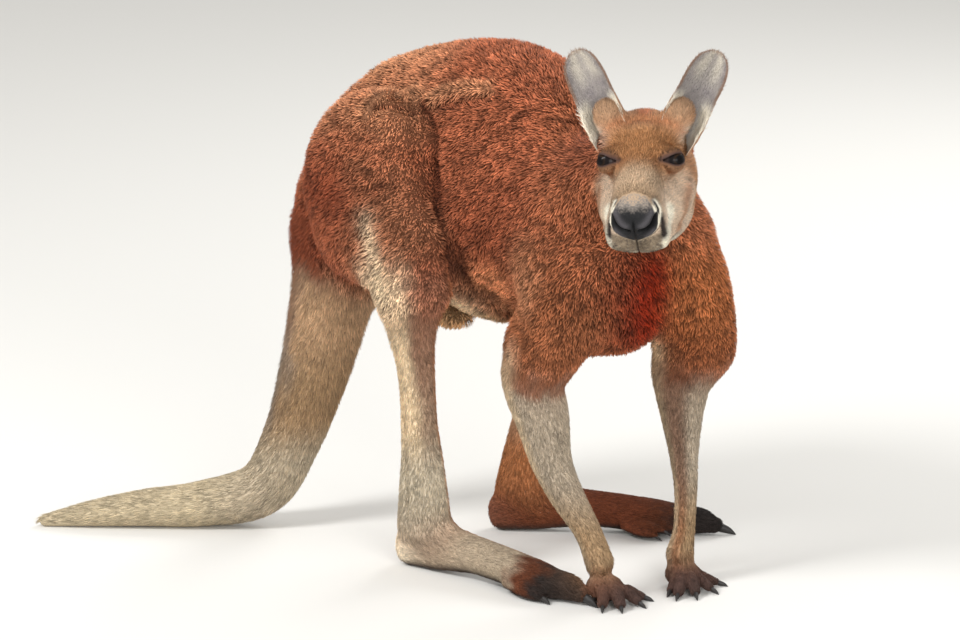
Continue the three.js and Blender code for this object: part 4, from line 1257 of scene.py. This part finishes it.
def lay(p, n, w):
    """The direction in which the coat lies at each point, along the surface."""
    way = np.zeros((len(p), 3))
    for name in NAMES:
        share = of(w, name)
        k = np.flatnonzero(share > 0.02)
        if not len(k):
            continue
        if name == "head":
            q, _ = mirrored(p[k])
            down = smooth(q[:, 1], 10, 60)[:, None] * 0.55 * -HEAD[:, 2]
            mound = marked(q, 34, (-64, 49, 38))[:, None]
            here = down - HEAD[:, 0] + 2.2 * mound * HEAD[:, 2]
        elif name.startswith("thigh"):
            here = evenly(THIGH_WAY, k)
        elif name.startswith("paw"):
            here = evenly(PAW_WAY[name[4:]], k)
        else:
            backwards = name in ("trunk", "neck")
            here = tube_way(main_tube(name), p[k], backwards)
            if backwards:
                flank = smooth(1 - np.abs(n[k, 2]), 0.1, 0.8)[:, None]
                here = here + flank * vec(0, 0, -2.1)
        way[k] += share[k, None] * unit(here)
    woolly = of(w, *WOOLLY)[:, None]
    way = unit(way) + (0.10 + 0.16 * woolly) * waves(p, 34, 20) + (0.10 + 0.42 * woolly) * waves(p, 9, 23)
    way -= (way * n).sum(1)[:, None] * n
    return unit(way)


# Tufts by region: how far apart, how long and how wide, in millimetres, and how much they stand up, 0 to 1.
TUFTS = {
    "trunk": (2.75, 10.5, 2.9, 1.0),
    "neck": (2.8, 10, 2.8, 1.0),
    "thigh": (2.8, 10, 2.8, 1.0),
    "upper_arm": (2.7, 9, 2.5, 0.85),
    "tail": (3.0, 11, 2.6, 0.8),
    "shank": (2.5, 9, 2.3, 0.8),
    "forearm": (2.4, 8, 2.2, 0.8),
    "foot": (2.2, 6.5, 2.0, 0.7),
    "paw": (1.6, 4.5, 1.5, 0.7),
    "head": (1.95, 6.5, 1.6, 0.8),
}


def tuft_table(w):
    """Spacing, length, width and lift at each point, mixed from its regions."""
    rows = np.array([TUFTS[name.removesuffix("_left").removesuffix("_right")] for name in NAMES])
    return (w @ rows).T


def spread_bits(v):
    """Whole numbers with two empty bits after each of theirs."""
    v = v.astype(np.uint64)
    for shift, mask in ((16, 0x30000FF), (8, 0x300F00F), (4, 0x30C30C3), (2, 0x9249249)):
        v = (v | (v << np.uint64(shift))) & np.uint64(mask)
    return v


NEAR = 4  # millimetres to the side of a cell whose points follow each other


def near_order(p):
    """An order of the points in which neighbours stay close."""
    cell = ((p - p.min(0)) / NEAR).astype(int)
    code = sum(spread_bits(cell[:, k]) << np.uint64(k) for k in range(3))
    return np.argsort(code, kind="stable")


def scatter(p, t, spacing):
    """Even places over a mesh, about the spacing apart: corners, the corners' shares, and triangles."""
    area = np.linalg.norm(face_cross(p, t), axis=1) / 2
    wanted = area / spacing[t].mean(1) ** 2
    order = near_order(p[t].mean(1))
    total = np.cumsum(wanted[order])
    at = np.arange(int(total[-1])) + rng.random(int(total[-1]))
    face = order[np.minimum(np.searchsorted(total, at), len(order) - 1)]
    r, s = rng.random((2, len(face)))
    flip = r + s > 1
    r, s = np.where(flip, 1 - r, r), np.where(flip, 1 - s, s)
    return t[face], np.stack([1 - r - s, r, s], 1), face


def blended(corner, share, value):
    """A value of the vertices at the places, mixed from their corners."""
    return (value[corner] * share.reshape(share.shape + (1,) * (value.ndim - 1))).sum(1)


RING = 3  # corners of a tuft's section
FLATNESS = 0.42  # of the section: its height by its width
STEEPEST = 0.92  # the most that a tuft rises, by its length
BEND = 0.16  # how far tips stray sideways, by their length
# Levels of a tuft: share of its length, of its height and of its width, and its tone.
CURVED = ((0.0, -0.12, 0.85, 0.30), (0.5, 0.66, 0.75, 0.95), (1.0, 1.0, 0.0, 1.4))
STRAIGHT = ((0.0, -0.12, 1.0, 0.72), (1.0, 1.0, 0.0, 1.35))


def tufts(levels, root, n, way, length, width, lift, colour):
    """Points, triangles and colours of flat, pointed tufts."""
    across = np.cross(n, way)
    rise = np.minimum(lift, STEEPEST * length)
    run = np.sqrt(length**2 - rise**2)
    bend = rng.normal(0, BEND, len(root)) * length
    points, tone = [], []
    for share, height, size, light in levels:
        at = root + way * (run * share)[:, None] + n * (rise * height)[:, None]
        at = at + across * (bend * share**2)[:, None]
        if size == 0:
            points.append(at)
            tone.append(light)
            continue
        for k in range(RING):
            angle = 2 * math.pi * k / RING + math.pi / 2
            ring = across * math.cos(angle) + n * (FLATNESS * math.sin(angle))
            points.append(at + ring * (0.5 * width * size)[:, None])
            tone.append(light)
    points = np.stack(points, 1)
    stride = points.shape[1]
    faces = []
    for level in range(len(levels) - 1):
        low = level * RING
        for k in range(RING):
            m = (k + 1) % RING
            if level == len(levels) - 2:
                faces.append((low + k, low + m, stride - 1))
            else:
                faces += [(low + k, low + m, low + RING + m), (low + k, low + RING + m, low + RING + k)]
    faces = (np.arange(len(root))[:, None, None] * stride + np.array(faces)).reshape(-1, 3)
    colours = colour[:, None, :] * np.array(tone)[None, :, None]
    return points.reshape(-1, 3), faces, colours.reshape(-1, 3)


PATCH = 0.003  # width of a tuft's patch on the unwrap


def tuft_uv(levels, places, faces):
    """Each tuft's corners on its patch round its root's place."""
    spots = []
    for share, _, size, _ in levels:
        count = RING if size else 1
        for k in range(count):
            across = k / (RING - 1) - 0.5 if size else 0.0
            spots.append((across * PATCH, (share - 0.5) * PATCH))
    corners = (places[:, None, :] + np.array(spots)).reshape(-1, 2)
    return corners[faces.ravel()]


VARIETY = 0.14  # spread of the tufts' lift, length and width


def coat(name, slot_name, material, levels, root, n, way, length, width, lift, colour, charts):
    """One piece of the coat."""
    vary = rng.normal(1, VARIETY, (3, len(root))).clip(0.6, 1.5)
    lift = lift * vary[0] * (0.8 + 0.22 * noise(root, 8, 50))
    points, faces, colours = tufts(levels, root, n, way, length * vary[1], width * vary[2], lift, colour)
    points[:, 2] = np.maximum(points[:, 2], FLOOR + 0.2)
    mesh = new_mesh(name, points, faces)
    tint(mesh, colours)
    set_uv(mesh, tuft_uv(levels, unwrap(root, charts), faces))
    return show(name, mesh, material, slot_name)


# ---------------------------------------------------------------- materials
def material(name, roughness, specular, **settings):
    """A Principled material, and the tools to wire it."""
    made = bpy.data.materials.new(name)
    made.use_nodes = True
    nodes, links = made.node_tree.nodes, made.node_tree.links
    shader = nodes["Principled BSDF"]
    shader.inputs["Roughness"].default_value = roughness
    shader.inputs["Specular IOR Level"].default_value = specular
    for key, value in settings.items():
        shader.inputs[key.replace("_", " ")].default_value = value
    return made, nodes, links, shader


def node(nodes, kind, **settings):
    """A shader node with its properties and its inputs' values."""
    made = nodes.new(kind)
    for key, value in settings.items():
        if hasattr(made, key):
            setattr(made, key, value)
        else:
            made.inputs[key.replace("_", " ").capitalize()].default_value = value
    return made


def ranged(nodes, links, source, low, high):
    """A value that goes from low to high as the source goes from 0 to 1."""
    spread = node(nodes, "ShaderNodeMapRange")
    spread.inputs["To Min"].default_value = low
    spread.inputs["To Max"].default_value = high
    links.new(source, spread.inputs["Value"])
    return spread.outputs["Result"]


def tinted(name, roughness, specular, scale, low, high, **settings):
    """A material whose colour is the mesh's tint, made lighter and darker by noise of the given scale."""
    made, nodes, links, shader = material(name, roughness, specular, **settings)
    source = node(nodes, "ShaderNodeAttribute", attribute_name="tint")
    grain = node(nodes, "ShaderNodeTexNoise", scale=scale, detail=4.0, roughness=0.6)
    scaled = node(nodes, "ShaderNodeVectorMath", operation="SCALE")
    links.new(source.outputs["Color"], scaled.inputs[0])
    links.new(ranged(nodes, links, grain.outputs["Fac"], low, high), scaled.inputs["Scale"])
    links.new(scaled.outputs["Vector"], shader.inputs["Base Color"])
    return made, nodes, links, shader


def bumped(nodes, links, shader, height, strength, distance):
    """Gives the surface a relief, with the height in a socket."""
    bump = node(nodes, "ShaderNodeBump", strength=strength, distance=distance)
    links.new(height, bump.inputs["Height"])
    links.new(bump.outputs["Normal"], shader.inputs["Normal"])


def ramped(nodes, links, shader, grain, *stops):
    """Colours the surface from a grain by a ramp of two stops."""
    ramp = node(nodes, "ShaderNodeValToRGB")
    for element, (place, colour) in zip(ramp.color_ramp.elements, stops):
        element.position = place
        element.color = (*colour, 1)
    links.new(grain.outputs["Fac"], ramp.inputs["Fac"])
    links.new(ramp.outputs["Color"], shader.inputs["Base Color"])


def coat_material():
    made, nodes, links, shader = tinted("coat", 0.6, 0.16, 260.0, 0.82, 1.18)
    strands = node(nodes, "ShaderNodeTexNoise", scale=1400.0, detail=2.0)
    bumped(nodes, links, shader, strands.outputs["Fac"], 0.35, 0.0004)
    return made


def skin_material():
    """Skin: matt under the coat, and smoother and pebbled where it is bare."""
    made, nodes, links, shader = tinted("skin", 0.7, 0.14, 420.0, 0.8, 1.2)
    bare = node(nodes, "ShaderNodeAttribute", attribute_name="bare")
    links.new(ranged(nodes, links, bare.outputs["Fac"], 0.75, 0.5), shader.inputs["Roughness"])
    fur = node(nodes, "ShaderNodeTexNoise", scale=900.0, detail=3.0)
    pebbles = node(nodes, "ShaderNodeTexVoronoi", scale=520.0)
    height = node(nodes, "ShaderNodeMix", data_type="FLOAT")
    links.new(bare.outputs["Fac"], height.inputs["Factor"])
    links.new(fur.outputs["Fac"], height.inputs["A"])
    links.new(pebbles.outputs["Distance"], height.inputs["B"])
    bumped(nodes, links, shader, height.outputs["Result"], 0.6, 0.0008)
    return made


def eye_material():
    return tinted("eye", 0.4, 0.04, 500.0, 0.7, 1.3, Coat_Weight=0.09, Coat_Roughness=0.03)[0]


def claw_material(name, dark, pale):
    made, nodes, links, shader = material(name, 0.42, 0.25, Coat_Weight=0.05, Coat_Roughness=0.25)
    grain = node(nodes, "ShaderNodeTexNoise", scale=160.0, detail=5.0, roughness=0.6)
    ramped(nodes, links, shader, grain, (0.35, dark), (0.75, pale))
    ridges = node(nodes, "ShaderNodeTexNoise", scale=420.0, detail=2.0)
    bumped(nodes, links, shader, ridges.outputs["Fac"], 0.3, 0.0006)
    return made


def floor_material(colour):
    """A plain colour with faint cloudy shades."""
    made, nodes, links, shader = material("floor", 0.8, 0.5)
    grain = node(nodes, "ShaderNodeTexNoise", scale=3.0, detail=3.0)
    ramped(nodes, links, shader, grain, (0, colour * 0.985), (1, colour))
    return made


# ---------------------------------------------------------------- making the skin
FITTINGS = (2, 3)  # rounds of fitting the points to the surface, before and after refining
CELL = 5.5  # millimetres between the skin's points, before the head, feet and paws are refined


def make_skin():
    """Points and triangles of the finished skin, each point's region shares, and its folds."""
    points, quads = skin_net(CELL)
    mesh = new_mesh("skin", points, quads)
    p, t = arrays(mesh)
    p = fit(p, t, FITTINGS[0])
    mesh.vertices.foreach_set("co", to_row(p).ravel())
    w = shares(field(p)[1])
    refine(mesh, of(w, "head", "foot", "paw") > 0.5)
    p, t = arrays(mesh)
    w = shares(field(p)[1])
    refine(mesh, (of(w, "head") > 0.5) & (local(p)[:, 0] > -60))
    p, t = arrays(mesh)
    q, _ = mirrored(p)
    along, height, out = of_eye(q)
    eye = (np.hypot(along, height) < 26) & (out > -12)
    nose = (q[:, 0] > 76) & (q[:, 1] < 45) & (q[:, 2] < 12)
    refine(mesh, eye | nose)
    p, t = arrays(mesh)
    bpy.data.meshes.remove(mesh)
    p = fit(p, t, FITTINGS[1])
    w = shares(field(p)[1])
    folds = creased(p + facing(p, t) * coat_depth(p, w)[:, None])
    p = carve(p, t, w)
    return p, t, w, folds


def paint_ear(points, marks):
    """Colour of an ear's points from their share of the way up, their place across and their side."""
    up, over, leaf = marks.T
    edge = np.abs(over)
    mottled = 0.5 + 0.5 * noise(points, 9, 30)
    back = mix(evenly(MOUND * vec(0.95, 0.9, 0.9), marks), EAR_INSIDE, smooth(up, 0.2, 0.9) * 0.6)
    inner = evenly(EAR_INSIDE * vec(0.72, 0.70, 0.76), marks)
    inner = mix(inner, EAR_INSIDE * vec(1.1, 1.1, 1.08), mottled)
    inner = mix(inner, EAR_TUFT * 0.8, smooth(up, 0.45, 0.8) * hump(edge - 0.35, 0.3) * 0.6)
    inner = mix(inner, EAR_TUFT, smooth(-up, -0.45, -0.2) * smooth(edge, 0.25, 0.6) * 0.9)
    c = np.where((leaf > 0)[:, None], back, inner)
    c = mix(c, MOUND * vec(0.55, 0.5, 0.5), smooth(edge, 0.82, 0.93) * smooth(up, 0.3, 0.5) * 0.75)
    return mix(c, MOUND * 0.6, smooth(up, 0.93, 1.0) * 0.6)


def triangles(quads):
    """Two triangles for each four-sided face."""
    quads = np.asarray(quads)
    return np.vstack([quads[:, :3], quads[:, [0, 2, 3]]])


def face_corners(bm):
    """The numbers of the corners of every face."""
    return np.array([[v.index for v in f.verts] for f in bm.faces])


# Colours of the eyeball, linear.
IRIS = vec(0.016, 0.009, 0.006)
IRIS_GLOW = vec(0.030, 0.015, 0.007)
PUPIL = vec(0.004, 0.003, 0.003)
IRIS_RIM = vec(0.008, 0.006, 0.006)
EYE_WHITE = vec(0.030, 0.019, 0.017)  # what shows of it is brown
CORNEA = 0.9  # millimetres that it stands out from the ball
PUPIL_WIDER = 1.35  # its width by its height


def make_eye(side):
    """An eyeball with its cornea's bulge, a pupil wider than high, and the iris round it."""
    name = "eye_left" if side > 0 else "eye_right"
    centre = to_body(middle(name))
    bm = bmesh.new()
    bmesh.ops.create_icosphere(bm, subdivisions=5, radius=1)
    way = np.array([v.co for v in bm.verts])
    t = face_corners(bm)
    bm.free()
    gaze = HEAD @ (GAZE * vec(1, side, 1))
    slit = HEAD @ (SLIT * vec(1, side, 1))
    lid = np.cross(slit, gaze)
    ahead = way @ gaze
    bulge = CORNEA * smooth(ahead, 0.78, 0.97)
    p = centre + way * (BALL + bulge)[:, None]
    ring = np.degrees(np.arccos(np.clip(ahead, -1, 1)))
    pupil = np.degrees(np.hypot((way @ slit) / PUPIL_WIDER, way @ lid))
    # Rings of the eye, in degrees from where it looks.
    c = evenly(IRIS, p)
    c = mix(c, IRIS_GLOW, hump(ring - 26, 9) * 0.8)
    c = mix(c, PUPIL, smooth(-pupil, -26, -21))
    c = mix(c, IRIS_RIM, smooth(ring, 36, 46))
    c = mix(c, EYE_WHITE, smooth(ring, 58, 76))
    mesh = new_mesh(name + "_ball", p, t)
    tint(mesh, c)
    piece = show(name + "_ball", mesh, eye_material(), "eye")
    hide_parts(name)


# ---------------------------------------------------------------- the pieces of skin and coat
def grow_skin(parts):
    """The skin with its ears: for each part its points, triangles, colours, bareness and charts."""
    points, faces, colours, bareness, charts = zip(*parts)
    starts = np.cumsum([0, *map(len, points[:-1])])
    faces = np.vstack([t + start for t, start in zip(faces, starts)])
    points = np.vstack(points)
    mesh = new_mesh("skin", points, faces)
    tint(mesh, np.vstack(colours))
    bare = mesh.attributes.new("bare", "FLOAT", "POINT")
    bare.data.foreach_set("value", np.concatenate(bareness).astype(np.float32))
    set_uv(mesh, unwrap(points[faces.ravel()], np.repeat(np.concatenate(charts), 3)))
    skin = show("skin", mesh, skin_material(), "coat")
    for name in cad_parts:
        if not name.startswith(("eye", "claw")):
            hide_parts(name)


MOST_FACES = 194000  # triangles in a piece of the coat
# Pieces of the coat: the regions they cover, their slot and the shape of their tufts.
COAT_GROUPS = {
    "trunk": (("trunk",), "coat", CURVED),
    "neck": (("neck",), "coat", CURVED),
    "thighs": (("thigh",), "coat", CURVED),
    "upper_arms": (("upper_arm",), "coat", CURVED),
    "head": (("head",), "coat", STRAIGHT),
    "tail": (("tail",), "pale_coat", STRAIGHT),
    "shanks": (("shank",), "pale_coat", STRAIGHT),
    "forearms": (("forearm",), "pale_coat", STRAIGHT),
    "feet": (("foot",), "dark_coat", STRAIGHT),
    "paws": (("paw",), "dark_coat", STRAIGHT),
}


def tuft_faces(levels):
    """How many triangles a tuft of these levels has."""
    return 2 * RING * (len(levels) - 2) + RING


CREASE_SHORTER, CREASE_LOWER = 0.45, 0.6  # how much shorter tufts are in a crease, and how much lower
CREST_HIGHER = 0.25
MUZZLE_TUFTS, ADDED_BEHIND = 0.55, 0.45  # size of the muzzle's tufts, and what the back of the head adds
TONES = 0.2  # spread of the tufts' tones
FINE_LOCKS, WIDE_LOCKS = 0.42, 0.18  # how much locks of two sizes lighten and darken the coat
CURVED_LOCKS, STRAIGHT_LOCKS = 1.35, 0.65  # how strongly the locks show in each kind of tuft


def bald(p, n, bare, head, q):
    """Where no tufts grow: on bare skin, round the eyes and on soles."""
    along, height, out = of_eye(q)
    by_eye = head & (np.hypot(along, height) < 19) & (opening(along, height) > -3.5) & (out > -14)
    sole = (n[:, 2] < -0.6) & (p[:, 2] < 9)
    return (bare > 0.25) | by_eye | sole


def grow_coat(finish, p, t, n, w, folds, colour, bare, charts):
    """The coat of the body and head, piece by piece."""
    deep, crest = folds
    q, _ = mirrored(p)
    head = of(w, "head") > 0.5
    hidden = bald(p, n, bare, head, q)
    shorter_ahead = MUZZLE_TUFTS + ADDED_BEHIND * smooth(-q[:, 0], -70, 70)
    table = tuft_table(w) * np.where(head, shorter_ahead, 1)
    table[1] *= 1 - CREASE_SHORTER * deep
    depth = coat_depth(p, w) * (1 - CREASE_LOWER * deep + CREST_HIGHER * crest)
    way = lay(p, n, w)
    region = w.argmax(1)[t[:, 0]]
    for group, (names, slot_name, levels) in COAT_GROUPS.items():
        chosen = [i for i, name in enumerate(NAMES) if name.startswith(names)]
        mine = np.isin(region, chosen) & ~hidden[t].any(1)
        corner, share, face = scatter(p, t[mine], table[0])
        root = blended(corner, share, p)
        _, length, width, stand = (blended(corner, share, row) for row in table)
        clumped = CURVED_LOCKS if levels is CURVED else STRAIGHT_LOCKS
        locks = 1 + clumped * (FINE_LOCKS * noise(root, 6.0, 40) + WIDE_LOCKS * noise(root, 15, 41))
        tone = rng.normal(1, TONES, len(root)).clip(0.5, 1.6) * locks
        roots = (
            root,
            unit(blended(corner, share, n)),
            unit(blended(corner, share, way)),
            length,
            width,
            blended(corner, share, depth) * stand,
            blended(corner, share, colour) * tone[:, None],
            charts[mine][face],
        )
        pieces = math.ceil(len(root) * tuft_faces(levels) / MOST_FACES)
        for k in range(pieces):
            part = slice(k * len(root) // pieces, (k + 1) * len(root) // pieces)
            coat(f"coat_{group}_{k + 1}", slot_name, finish, levels, *(value[part] for value in roots))


EAR_SPACING = 1.9  # millimetres between the ears' tufts
EAR_HAIR = ((5, 9), (1.3, 0.7), (1.3, 3))  # length, width and lift, and what the white hair adds to each
EAR_TONES, EAR_STRAY = 0.12, 0.25  # spread of the hairs' tones and directions


def ear_roots(number, side, points, faces, marks, colour):
    """Short hair on both faces of an ear, long and white inside its base, as the coat's roots."""
    _, along, _, across = ear_axes(side)
    seen = (marks[:, 0] > -0.1)[faces].all(1)
    corner, share, _ = scatter(points, faces[seen], np.full(len(points), EAR_SPACING))
    root = blended(corner, share, points)
    out = unit(blended(corner, share, facing(points, faces)))
    up, over, leaf = blended(corner, share, marks).T
    way = along + across * (0.45 * over * (leaf < 0))[:, None]
    way = way + EAR_STRAY * rng.normal(0, 1, (len(root), 3))
    way = unit(way - (way * out).sum(1)[:, None] * out)
    inside = (leaf < 0) * smooth(-up, -0.5, -0.15) * smooth(np.abs(over), 0.2, 0.6)
    tone = rng.normal(1, EAR_TONES, len(root)).clip(0.7, 1.3)
    tints = blended(corner, share, colour) * tone[:, None]
    chart = chart_of(out, np.full(len(root), len(NAMES) + number))
    sizes = (short + added * inside for short, added in EAR_HAIR)
    return root, out, way, *sizes, tints, chart


# The skin under the coat is painted darker: painted shade between the tufts, most under the woolly coat.
SKIN_TONE, WOOLLY_SHADE, EAR_TONE = 0.85, 0.47, 0.8  # how dark skin is under its coat, by the coat's colour


def build_animal():
    """Makes the skin with its ears, then the coat, and last the eyes."""
    finish = coat_material()
    p, t, w, folds = make_skin()
    n = facing(p, t)
    colour, bare = paint(p, n, w, folds)
    charts = chart_of(unit(face_cross(p, t)), w.argmax(1)[t[:, 0]])
    # painted shade on the skin between the tufts
    under_coat = colour * (SKIN_TONE - WOOLLY_SHADE * of(w, *WOOLLY))[:, None]
    parts = [(p, t, mix(under_coat, colour, bare), bare, charts)]
    ears = []
    for number, side in enumerate((1, -1)):
        points, quads, marks = ear_mesh(side)
        faces = triangles(quads)
        tints = paint_ear(points, marks)
        chart = chart_of(unit(face_cross(points, faces)), np.full(len(faces), len(NAMES) + number))
        parts.append((points, faces, tints * EAR_TONE, np.zeros(len(points)), chart))
        ears.append((number, side, points, faces, marks, tints))
    grow_skin(parts)
    grow_coat(finish, p, t, n, w, folds, colour, bare, charts)
    roots = [ear_roots(*ear) for ear in ears]
    coat("coat_ears", "ear", finish, STRAIGHT, *map(np.concatenate, zip(*roots)))
    for side in (1, -1):
        make_eye(side)


build_animal()

# ---------------------------------------------------------------- claws
JOINED = 0.00002  # facets' corners this close, in metres, are one
SWELL = 1.18  # makes up for what the rounding takes away
CLAW_GROUND = 0.0002  # the lowest a claw reaches, in metres


def make_claw(name, material):
    """A claw, rounded from the joined facets of its CAD node."""
    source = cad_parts[name]
    bm = bmesh.new()
    bm.from_mesh(source.data)
    bmesh.ops.remove_doubles(bm, verts=bm.verts, dist=JOINED)
    bm.verts.index_update()
    points = np.array([source.matrix_world @ v.co for v in bm.verts])
    faces = face_corners(bm)
    bm.free()
    points = middle(name) + SWELL * (points - middle(name))
    points[:, 2] = np.maximum(points[:, 2], CLAW_GROUND)
    piece = show(name + "_nail", new_mesh(name + "_nail", to_body(points), faces), material, "claw")
    rounding = piece.modifiers.new("rounding", "SUBSURF")
    rounding.levels = rounding.render_levels = 2
    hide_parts(name)


CLAW_DARK, CLAW_PALE = (0.012, 0.011, 0.011), (0.05, 0.045, 0.042)
black_claw = claw_material("claw", CLAW_DARK, CLAW_PALE)
for name in sorted(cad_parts):
    if name.startswith("claw"):
        make_claw(name, black_claw)

# ---------------------------------------------------------------- floor, light and camera
FLOOR_HALF = 9  # metres from the floor's middle to its edges
FLOOR_WHITE = vec(0.74, 0.73, 0.70)


def make_floor():
    """The ground: a wide, plain sheet under the animal."""
    corners = [(x * FLOOR_HALF, y * FLOOR_HALF, 0) for x, y in ((-1, -1), (1, -1), (1, 1), (-1, 1))]
    mesh = bpy.data.meshes.new("floor")
    mesh.from_pydata(corners, [], [(0, 1, 2, 3)])
    mesh.materials.append(floor_material(FLOOR_WHITE))
    floor = placed("floor", mesh)


def aim(piece, place, target):
    """Puts a light or the camera at a place, looking at the target."""
    piece.location = place
    piece.rotation_euler = (Vector(target) - Vector(place)).to_track_quat("-Z", "Y").to_euler()


# Lights: place, diameter and power.
LIGHTS = {
    "key": ((-1.5, -3.0, 3.3), 1.4, 150),
    "fill": ((3.2, -3.0, 1.6), 2.4, 110),
    "rim": ((0.5, 3.2, 2.6), 2.0, 60),
}
LIT = (0, 0, 0.4)  # where they all point
SKY, SKY_STRENGTH = (1.0, 0.99, 0.97, 1), 0.7


def make_light(name, place, size, power):
    light = bpy.data.lights.new(name, "AREA")
    light.shape = "DISK"
    light.size = size
    light.energy = power
    aim(placed(name, light), place, LIT)


def make_world(colour, strength):
    world = bpy.data.worlds.new("world")
    world.use_nodes = True
    background = world.node_tree.nodes["Background"]
    background.inputs["Color"].default_value = colour
    background.inputs["Strength"].default_value = strength
    bpy.context.scene.world = world


TARGET = Vector((0.1087, 0.0077, 0.361))  # what the camera looks at
VIEW_AZIMUTH, VIEW_ELEVATION, VIEW_DISTANCE = 28, 14, 8
LENS, SENSOR = 204, 36  # millimetres
SIGHT = 40  # metres, past the floor's far corner


def make_camera():
    camera = bpy.data.cameras.new("camera")
    camera.lens = LENS
    camera.sensor_width = SENSOR
    camera.clip_end = SIGHT
    piece = placed("camera", camera)
    azimuth, elevation = math.radians(VIEW_AZIMUTH), math.radians(VIEW_ELEVATION)
    level = math.cos(elevation)
    way = Vector((math.sin(azimuth) * level, -math.cos(azimuth) * level, math.sin(elevation)))
    aim(piece, TARGET + VIEW_DISTANCE * way, TARGET)
    bpy.context.scene.camera = piece


make_floor()
for name, (place, size, power) in LIGHTS.items():
    make_light(name, place, size, power)
make_world(SKY, SKY_STRENGTH)
make_camera()
bpy.context.scene.view_settings.view_transform = "Standard"
